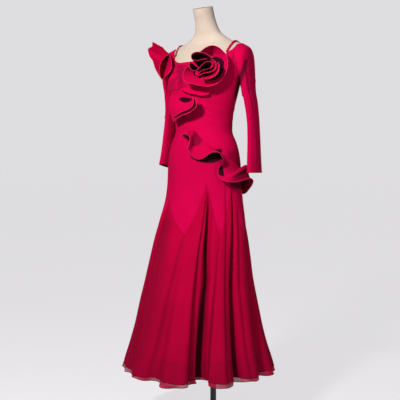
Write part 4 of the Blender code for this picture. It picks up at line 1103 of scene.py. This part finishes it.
def build_sleeve(name, side):
    turns = np.linspace(0.0, 360.0, SLEEVE_COLUMNS, endpoint=False)
    rings = [[armhole_point(turn, side, SEAM + CLOTH + SLEEVE_CLEAR) for turn in turns]]
    for left_x, right_x, y, z, tilt, across, depth in SLEEVE:
        centre_x = left_x if side > 0 else right_x
        lean = math.radians(tilt)
        up, ahead = across * np.cos(np.radians(turns)), np.sin(np.radians(turns))
        rise = (RIGHT_CUFF_RISE + RIGHT_CUFF_SLANT * ahead) * sleeve_bend(side, z)
        rings.append(np.stack((
            side * (centre_x + up * math.sin(lean)),
            y - depth * ahead,
            z + up * math.cos(lean) + rise,
        ), axis=-1))
    rings = np.array(rings)
    along = np.concatenate([[0.0], np.cumsum(np.linalg.norm(np.diff(rings.mean(axis=1), axis=0), axis=1))])
    curve = Curve(np.column_stack([along, rings.reshape(len(rings), -1)]))
    fine = curve(np.linspace(0.0, along[-1], SLEEVE_RINGS)).reshape(SLEEVE_RINGS, SLEEVE_COLUMNS, 3)
    if side < 0:
        fine = fine[:, ::-1]
    grid = fine[::-1]
    order = turns[None, :] if side > 0 else turns[None, ::-1]
    share = np.linspace(1.0, 0.0, SLEEVE_RINGS)[:, None]
    rise = line_creases(order + 0 * share, share + 0 * order, SLEEVE_CREASES, (0.0007, along[-1]))
    rise = rise * eased(share / 0.05) * eased((1.0 - share) / 0.03)
    grid = grid + grid_normals(grid, True) * rise[..., None]
    # Painted shade where the wearer's left sleeve meets the bodice
    dark = shaded(grid, ARM_SHADE) * (side > 0)
    sewn_piece(name, grid, reverse, petal, petal, cloth=CLOTH, closed=True, shade=0 * dark, back_shade=dark,
               held="hung")
    rolled_edge(f"{name}_cuff_edge", grid[0], 0.0010, hem_thread, closed=True)


# Straps and drape

def build_strap(name, side):
    line = []
    for start, end, front in ((STRAP_FRONT, STRAP_TOP, True), (STRAP_TOP, STRAP_BACK, False)):
        for share in np.linspace(0.0 if front else 0.1, 1.0, 14):
            x = start[0] + (end[0] - start[0]) * share
            z = start[1] + (end[1] - start[1]) * share
            lean = math.degrees(math.asin(min(x / FIGURE(z)[0], 1.0)))
            line.append((side * (lean if front else 180.0 - lean), z))
    middle = resampled([on_figure(angle, z, LAID_ON) for angle, z in line], 60)
    tangent = unit(np.gradient(middle, axis=0))
    outward = middle - np.array((0.0, FIGURE(SHOULDER_LEVEL)[4], STRAP_SPINE_HEIGHT))
    across = unit(np.cross(tangent, outward))
    raised = unit(np.cross(across, tangent))
    middle = middle + raised * STRAP_RAISE
    shares = np.linspace(-1.0, 1.0, 7)[:, None, None]
    grid = middle[None] + across[None] * shares * STRAP_WIDTH / 2 - raised[None] * 0.0006 * shares**2
    grid = grid[::-1]
    piece = shell(f"{name}_cloth", grid, cloth=STRAP_CLOTH)
    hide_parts(name)


def build_drape():
    table = Curve(DRAPE)
    keys = np.linspace(DRAPE[0][0], DRAPE[-1][0], 90)[None, :]
    share = steps(90)[:, None]
    upper, lower = np.moveaxis(table(keys), -1, 0)
    heights = lower + (upper - lower) * share
    angles = keys + 0 * share
    run = (DRAPE_PIVOT[0] - angles) * METRES_PER_DEGREE
    drop = heights - DRAPE_PIVOT[1]
    bearing = np.degrees(np.arctan2(drop + 0.10 * run, run + 0.006))
    wave = 0.5 + 0.5 * np.cos(np.radians(bearing) * DRAPE_FOLDS)
    far = np.hypot(run, drop)
    fade = eased(far / 0.012) * (0.25 + 0.75 * bell(far, 0.075))
    belly = np.sin(math.pi * share) ** 0.5
    rise = DRAPE_DEPTH * wave * belly * fade
    normal = figure_normal(angles, heights)
    on_top = eased(share / 0.12) * eased((DRAPE[-1][0] - angles) / 4.0)
    lift = on_top * (LAID_ON + CLOTH / 2 + rise) - (1 - on_top) * CLOTH * 0.6
    grid = on_figure(angles, heights) + normal * lift[..., None]
    # Painted shade in the valleys between the folds and beside the rose
    dark = DRAPE_PAINTED_SHADE * (1 - wave) ** 2 * belly * fade
    dark = np.maximum(dark, shaded(grid, DRAPE_SHADE))
    sewn_piece("neck_drape", grid, petal, petal, cloth=CLOTH, shade=dark)


# Ruffles and rose

def outwards_at(points):
    """Level directions away from the body's axis."""
    return unit((points - np.array((0.0, AXIS_Y, 0.0))) * np.array((1.0, 1.0, 0.0)))


def ribbon(roots, edges, count, rows, bow=0.0):
    line = resampled(np.hstack([roots, edges]), count)
    roots, edges = line[:, :3], line[:, 3:6]
    share = steps(rows)[:, None, None]
    grid = roots[None] + (edges - roots)[None] * share
    return grid + outwards_at(grid) * bow * np.sin(math.pi * share)


def ruffle_points(table, count, rows, off=LAID_ON, bow=0.0):
    roots = np.array([on_figure(row[0], row[1], off) for row in table])
    edges = np.array([faced(*row[2:5]) for row in table])
    return ribbon(roots, edges, count, rows, bow)


def build_waist(node, table, off, bow, slot, hollows=()):
    rows, columns = 72, 130
    # Painted shade: in the pressed hollows on the outside, and on the underside deeper towards the root
    grid, dark = pressed(ruffle_points(table, columns, rows, off, bow), hollows)
    share = steps(rows)[:, None] + np.zeros((1, columns))
    sewn_piece(node, grid, reverse, petal, rolled, shade=0.6 * (1 - share), back_shade=dark, slot=slot,
               edges={f"{node}_cloth_edge": -1})


def build_hip_ruffle():
    rows, columns = 44, 300
    line = np.array([(*on_figure(*row[:2], LAID_ON), *faced(*row[2:]), row[0]) for row in HIP_RUFFLE])
    angles = resampled(line, columns)[:, 6]
    grid = ribbon(line[:, :3], line[:, 3:6], columns, rows, 0.004)
    share = steps(rows)[:, None] + np.zeros((1, columns))
    inside = (angles > HIP_LOBE[0][0]) & (angles < HIP_LOBE[-1][0])
    ridge, rise = np.moveaxis(Curve(HIP_LOBE)(angles), -1, 0)
    rise = rise * inside
    up = bell(share - ridge, HIP_LOBE_WIDTH) * np.sin(math.pi * share) ** 0.5
    trough = bell(share - ridge - HIP_TROUGH_BEYOND, HIP_TROUGH_WIDTH) * (1 - share) ** 0.3
    outward = outwards_at(grid)
    grid = grid + np.array((0.0, 0.0, 1.0)) * ((up - 0.35 * trough) * rise)[..., None]
    grid = grid + outward * ((0.25 * up - 0.55 * trough) * rise)[..., None]
    # Painted shade from the ruffle's table and in the trough below the standing fold
    dark = np.maximum(shaded(grid, HIP_RUFFLE_SHADE, False), 0.95 * trough * np.clip(rise / 0.02, 0, 1))
    # Painted shade on the inner face, fading towards the open end and, there, towards the edge
    open_end = eased((angles - 80.0) / 25.0)
    inner = np.clip(1.0 - open_end * (0.25 + 0.75 * share), 0.0, 1.0)
    sewn_piece("hip_ruffle", grid, petal, petal, rolled, shade=inner, back_shade=dark,
               edges={"hip_ruffle_edge": -1})


def build_shoulder():
    back = ruffle_points(BACK_LEAF, LEAF_COLUMNS, RUFFLE_ROWS, BACK_LEAF_OFF, BACK_LEAF_BOW)
    sewn_piece("shoulder_back_leaf", back, reverse, crepe, rolled, edges={"shoulder_back_leaf_edge": -1})
    normal = grid_normals(back)
    ahead = faced(0.0, 0.0, 1.0) - faced(0.0, 0.0, 0.0)
    if float(normal.mean(axis=(0, 1)) @ ahead) < 0:
        normal = -normal
    laid = back + normal * (RUFFLE_CLOTH + SEAM)
    table = Curve([(i / (len(FRONT_LEAF) - 1), *row) for i, row in enumerate(FRONT_LEAF)])
    columns, rows = 80, 25
    grid = np.zeros((rows, columns, 3))
    for j in range(columns):
        row = table(j / (columns - 1))
        depth = row[3] * (len(back) - 1)
        low = min(int(depth), len(back) - 2)
        at = FOLD_START + j * (LEAF_COLUMNS - 1 - FOLD_START) / (columns - 1)
        col = min(int(at), LEAF_COLUMNS - 2)
        part = at - col
        fold = (laid[low, col] * (1 - part) + laid[low, col + 1] * part) * (1 - depth + low)
        fold = fold + (laid[low + 1, col] * (1 - part) + laid[low + 1, col + 1] * part) * (depth - low)
        left, right = faced(*row[:3]), faced(*row[4:7])
        for i in range(rows):
            s = i / (rows - 1)
            grid[i, j] = left * (1 - s) * (1 - 2 * s) + fold * 4 * s * (1 - s) + right * s * (2 * s - 1)
    # Painted shade in the front leaf's trough, deepest at the fold
    depth = np.sin(math.pi * steps(rows))[:, None] + np.zeros((1, columns))
    dark = FRONT_LEAF_PAINTED_SHADE * depth
    sewn_piece("shoulder_front_leaf", grid, crepe, crepe, rolled, shade=dark, back_shade=dark,
               slot="dark_crimson_cloth", rests_on="shoulder_back_leaf_cloth",
               edges={"shoulder_front_leaf_left_edge": 0, "shoulder_front_leaf_right_edge": -1})


def rose_root(across, height, scale, off):
    root_across = ROSE_CENTRE[0] + scale * (across - ROSE_CENTRE[0])
    root_height = ROSE_CENTRE[1] + scale * (height - ROSE_CENTRE[1])
    return on_figure(angle_facing(root_across, root_height), root_height, off)


def build_rose():
    around, outwards = 170, 40
    rim = resampled(ROSE_OUTER, around)
    grid = np.zeros((outwards, around, 3))
    share = steps(outwards)
    forward = faced(0.0, 0.0, 1.0) - faced(0.0, 0.0, 0.0)
    for j, (across, height, out, rise, _) in enumerate(rim):
        root = rose_root(across, height, PETAL_ROOT_SCALE, PETAL_ROOT_OFF)
        edge = faced(across, height, out)
        climb = float((edge - root) @ forward)
        flat = edge - root - climb * forward
        grid[:, j] = root + flat * share[:, None] + forward * climb * share[:, None] ** rise
    # Painted shade in the petal's hollow, out to the reach in the table
    dark = eased((rim[None, :, 4] - share[:, None]) / 0.09 + 0.5)
    sewn_piece("rose_outer_petal", grid, petal, petal, rolled, shade=dark, back_shade=dark,
               edges={"rose_outer_petal_edge": -1})
    for name, points in ROSE_CURLS.items():
        count, rows = 120, 28
        line = resampled(points, count, 2)
        share = steps(rows)[:, None]
        grid = np.zeros((rows, count, 3))
        for j, (across, height, _) in enumerate(line):
            root = rose_root(across, height, CURL_ROOT_SCALE, CURL_ROOT_OFF)
            tip = faced(across, height, CURL_EDGE_OUT)
            grid[:, j] = root + (tip - root) * share
        # Painted shade on the curls' walls below their lit share
        dark = eased((1.0 - line[None, :, 2] - share) / 0.10 + 0.5)
        sewn_piece(name, grid, petal, petal, rolled, shade=dark, back_shade=dark,
                   rests_on="rose_outer_petal_cloth", edges={f"{name}_edge": -1})
    line = resampled(ROSE_BAND, 40)
    upper, lower = [
        np.array([on_figure(angle_facing(row[at], row[at + 1]), row[at + 1], off) for row in line])
        for at, off in ((0, BAND_OFF_TOP), (2, BAND_OFF_FOOT))
    ]
    sewn_piece("rose_band", ribbon(upper, lower, 80, 8))


# Form and stand

def stacked_faces(count, columns):
    """Faces of a closed body made of rings of points, from its lowest ring to its top."""
    faces = []
    for i in range(count - 1):
        for j in range(columns):
            a, b = i * columns + j, i * columns + (j + 1) % columns
            faces.append((a, b, b + columns, a + columns))
    top = (count - 1) * columns
    return faces + [tuple(reversed(range(columns))), tuple(range(top, top + columns))]


def build_form():
    columns = 120
    rings = []
    levels = Curve([(i, level) for i, level in enumerate((*FORM_LEVELS, NECK_TOP))])
    for step in np.linspace(0, len(FORM_LEVELS), 110):
        height = float(levels(step)[0])
        inset = CLOTH + EASE + HIP_EASE * float(eased((HIP_EASE_TOP - height) / HIP_EASE_FALL))
        inset += FOOT_ROUND_INSET * max(FOOT_ROUND_TOP - height, 0.0) / (FOOT_ROUND_TOP - FORM_BOTTOM)
        ring = on_figure(np.linspace(0.0, 360.0, columns, endpoint=False), height, -inset)
        tip = float(eased((height - NECK_SLANT_START) / NECK_SLANT_RISE))
        ring[:, 2] += NECK_SLANT * (ring[:, 1] - FIGURE(height)[4]) * tip
        rings.append(ring)
    faces = stacked_faces(len(rings), columns)
    looks = [0] * (len(faces) - 1) + [1]
    points = np.concatenate(rings)
    piece = add_mesh("dress_form_cover", points, faces, [linen, cap], looks)
    piece.data.polygons[-1].use_smooth = False
    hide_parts("dress_form")


def build_turned(name, node, profile, columns):
    points = []
    for radius, height in profile:
        for j in range(columns):
            turn = 2 * math.pi * j / columns
            points.append((radius * math.cos(turn), radius * math.sin(turn), height))
    piece = add_mesh(name, points, stacked_faces(len(profile), columns), [steel])
    piece.data.polygons.foreach_set("use_smooth", [len(p.vertices) == 4 for p in piece.data.polygons])
    piece.data.edges.foreach_set("use_edge_sharp", profile_creases(piece.data))
    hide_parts(node)


def profile_creases(mesh):
    """Edges where two faces meet at more than 30 degrees."""
    normals = {}
    for polygon in mesh.polygons:
        for key in polygon.edge_keys:
            normals.setdefault(key, []).append(polygon.normal.copy())
    sharp = []
    for e in mesh.edges:
        pair = normals[tuple(sorted(e.vertices))]
        sharp.append(len(pair) == 2 and pair[0].angle(pair[1], 0.0) > math.radians(30))
    return sharp


def build_stand():
    edge = BASE_EDGE
    inner, upper = BASE_RADIUS - edge, BASE_THICKNESS - edge
    below, above = np.linspace(0.3, math.pi / 2, 4), np.linspace(0, math.pi / 2, 5)
    rim = [(inner, 0.0)]
    rim += [(inner + edge * math.sin(t), edge - edge * math.cos(t)) for t in below]
    rim += [(inner + edge * math.cos(t), upper + edge * math.sin(t)) for t in above]
    rim += [(COLLAR_RADIUS, BASE_THICKNESS), (COLLAR_RADIUS, COLLAR_HEIGHT)]
    rim += [(COLLAR_RADIUS - edge, COLLAR_HEIGHT + edge)]
    build_turned("form_base_disc", "form_base", rim, 128)
    foot = COLLAR_HEIGHT + edge + SEAM
    pole = [(POLE_RADIUS, foot), (POLE_RADIUS, FORM_BOTTOM - SEAM)]
    build_turned("form_pole_tube", "form_pole", pole, 48)


# Stage

def build_stage():
    far = FLOOR_REACH
    points = [(-far, -far, -0.001), (far, -far, -0.001), (far, far, -0.001), (-far, far, -0.001)]
    floor = add_mesh("studio_floor", points, [(0, 1, 2, 3)], [floor_paint], ride=False)
    floor.visible_diffuse = False
    world = bpy.data.worlds.new("studio")
    bpy.context.scene.world = world
    world.use_nodes = True
    tree = world.node_tree
    seen = add_node(tree, "ShaderNodeLightPath").outputs["Is Camera Ray"]
    strength = ranged(tree, seen, low=AMBIENT)
    fill(tree, tree.nodes["Background"], Color=(*STUDIO_TONE, 1.0), Strength=strength)
    bpy.context.scene.view_settings.view_transform = "Standard"


def aimed(obj, place, target):
    obj.location = place
    obj.rotation_euler = (Vector(target) - Vector(place)).to_track_quat("-Z", "Y").to_euler()


def area_light(name, place, target, size, power, colour=(1.0, 1.0, 1.0)):
    light = bpy.data.lights.new(name, "AREA")
    light.shape = "DISK"
    light.size = size
    light.energy = power
    light.color = colour
    aimed(placed(name, light), place, target)


def build_camera():
    camera = bpy.data.cameras.new("camera")
    camera.lens = CAMERA_LENS
    camera.sensor_width = 36.0
    obj = placed("camera", camera)
    turn, pitch = math.radians(CAMERA_AZIMUTH), math.radians(CAMERA_PITCH)
    look = Vector((-math.sin(turn) * math.cos(pitch), math.cos(turn) * math.cos(pitch), -math.sin(pitch)))
    aimed(obj, CAMERA_PLACE, Vector(CAMERA_PLACE) + look)
    bpy.context.scene.camera = obj


def build_light():
    area_light("key", (0.06, -2.10, 2.18), (0.0, -0.1, 1.30), 0.30, 53.0, (1.0, 0.98, 0.98))
    area_light("fill", (2.4, -1.6, 0.9), (0.1, -0.1, 0.55), 1.4, 13.0)


build_camera()
build_stage()
build_light()
build_stand()
build_form()
build_skirt()
build_hem()
bodice_part("bodice_front", NECK_FRONT, True)
bodice_part("bodice_back", NECK_BACK, False)
build_sleeve("sleeve_left", 1.0)
build_sleeve("sleeve_right", -1.0)
build_strap("strap_left", 1.0)
build_strap("strap_right", -1.0)
build_drape()
build_hip_ruffle()
build_waist("waist_ruffle", WAIST_RUFFLE, WAIST_RUFFLE_OFF, WAIST_RUFFLE_BOW, "dark_crimson_cloth")
build_waist("waist_overlay", WAIST_OVERLAY, WAIST_OVERLAY_OFF, WAIST_OVERLAY_BOW, "crimson_cloth",
            WAIST_HOLLOWS)
build_shoulder()
build_rose()
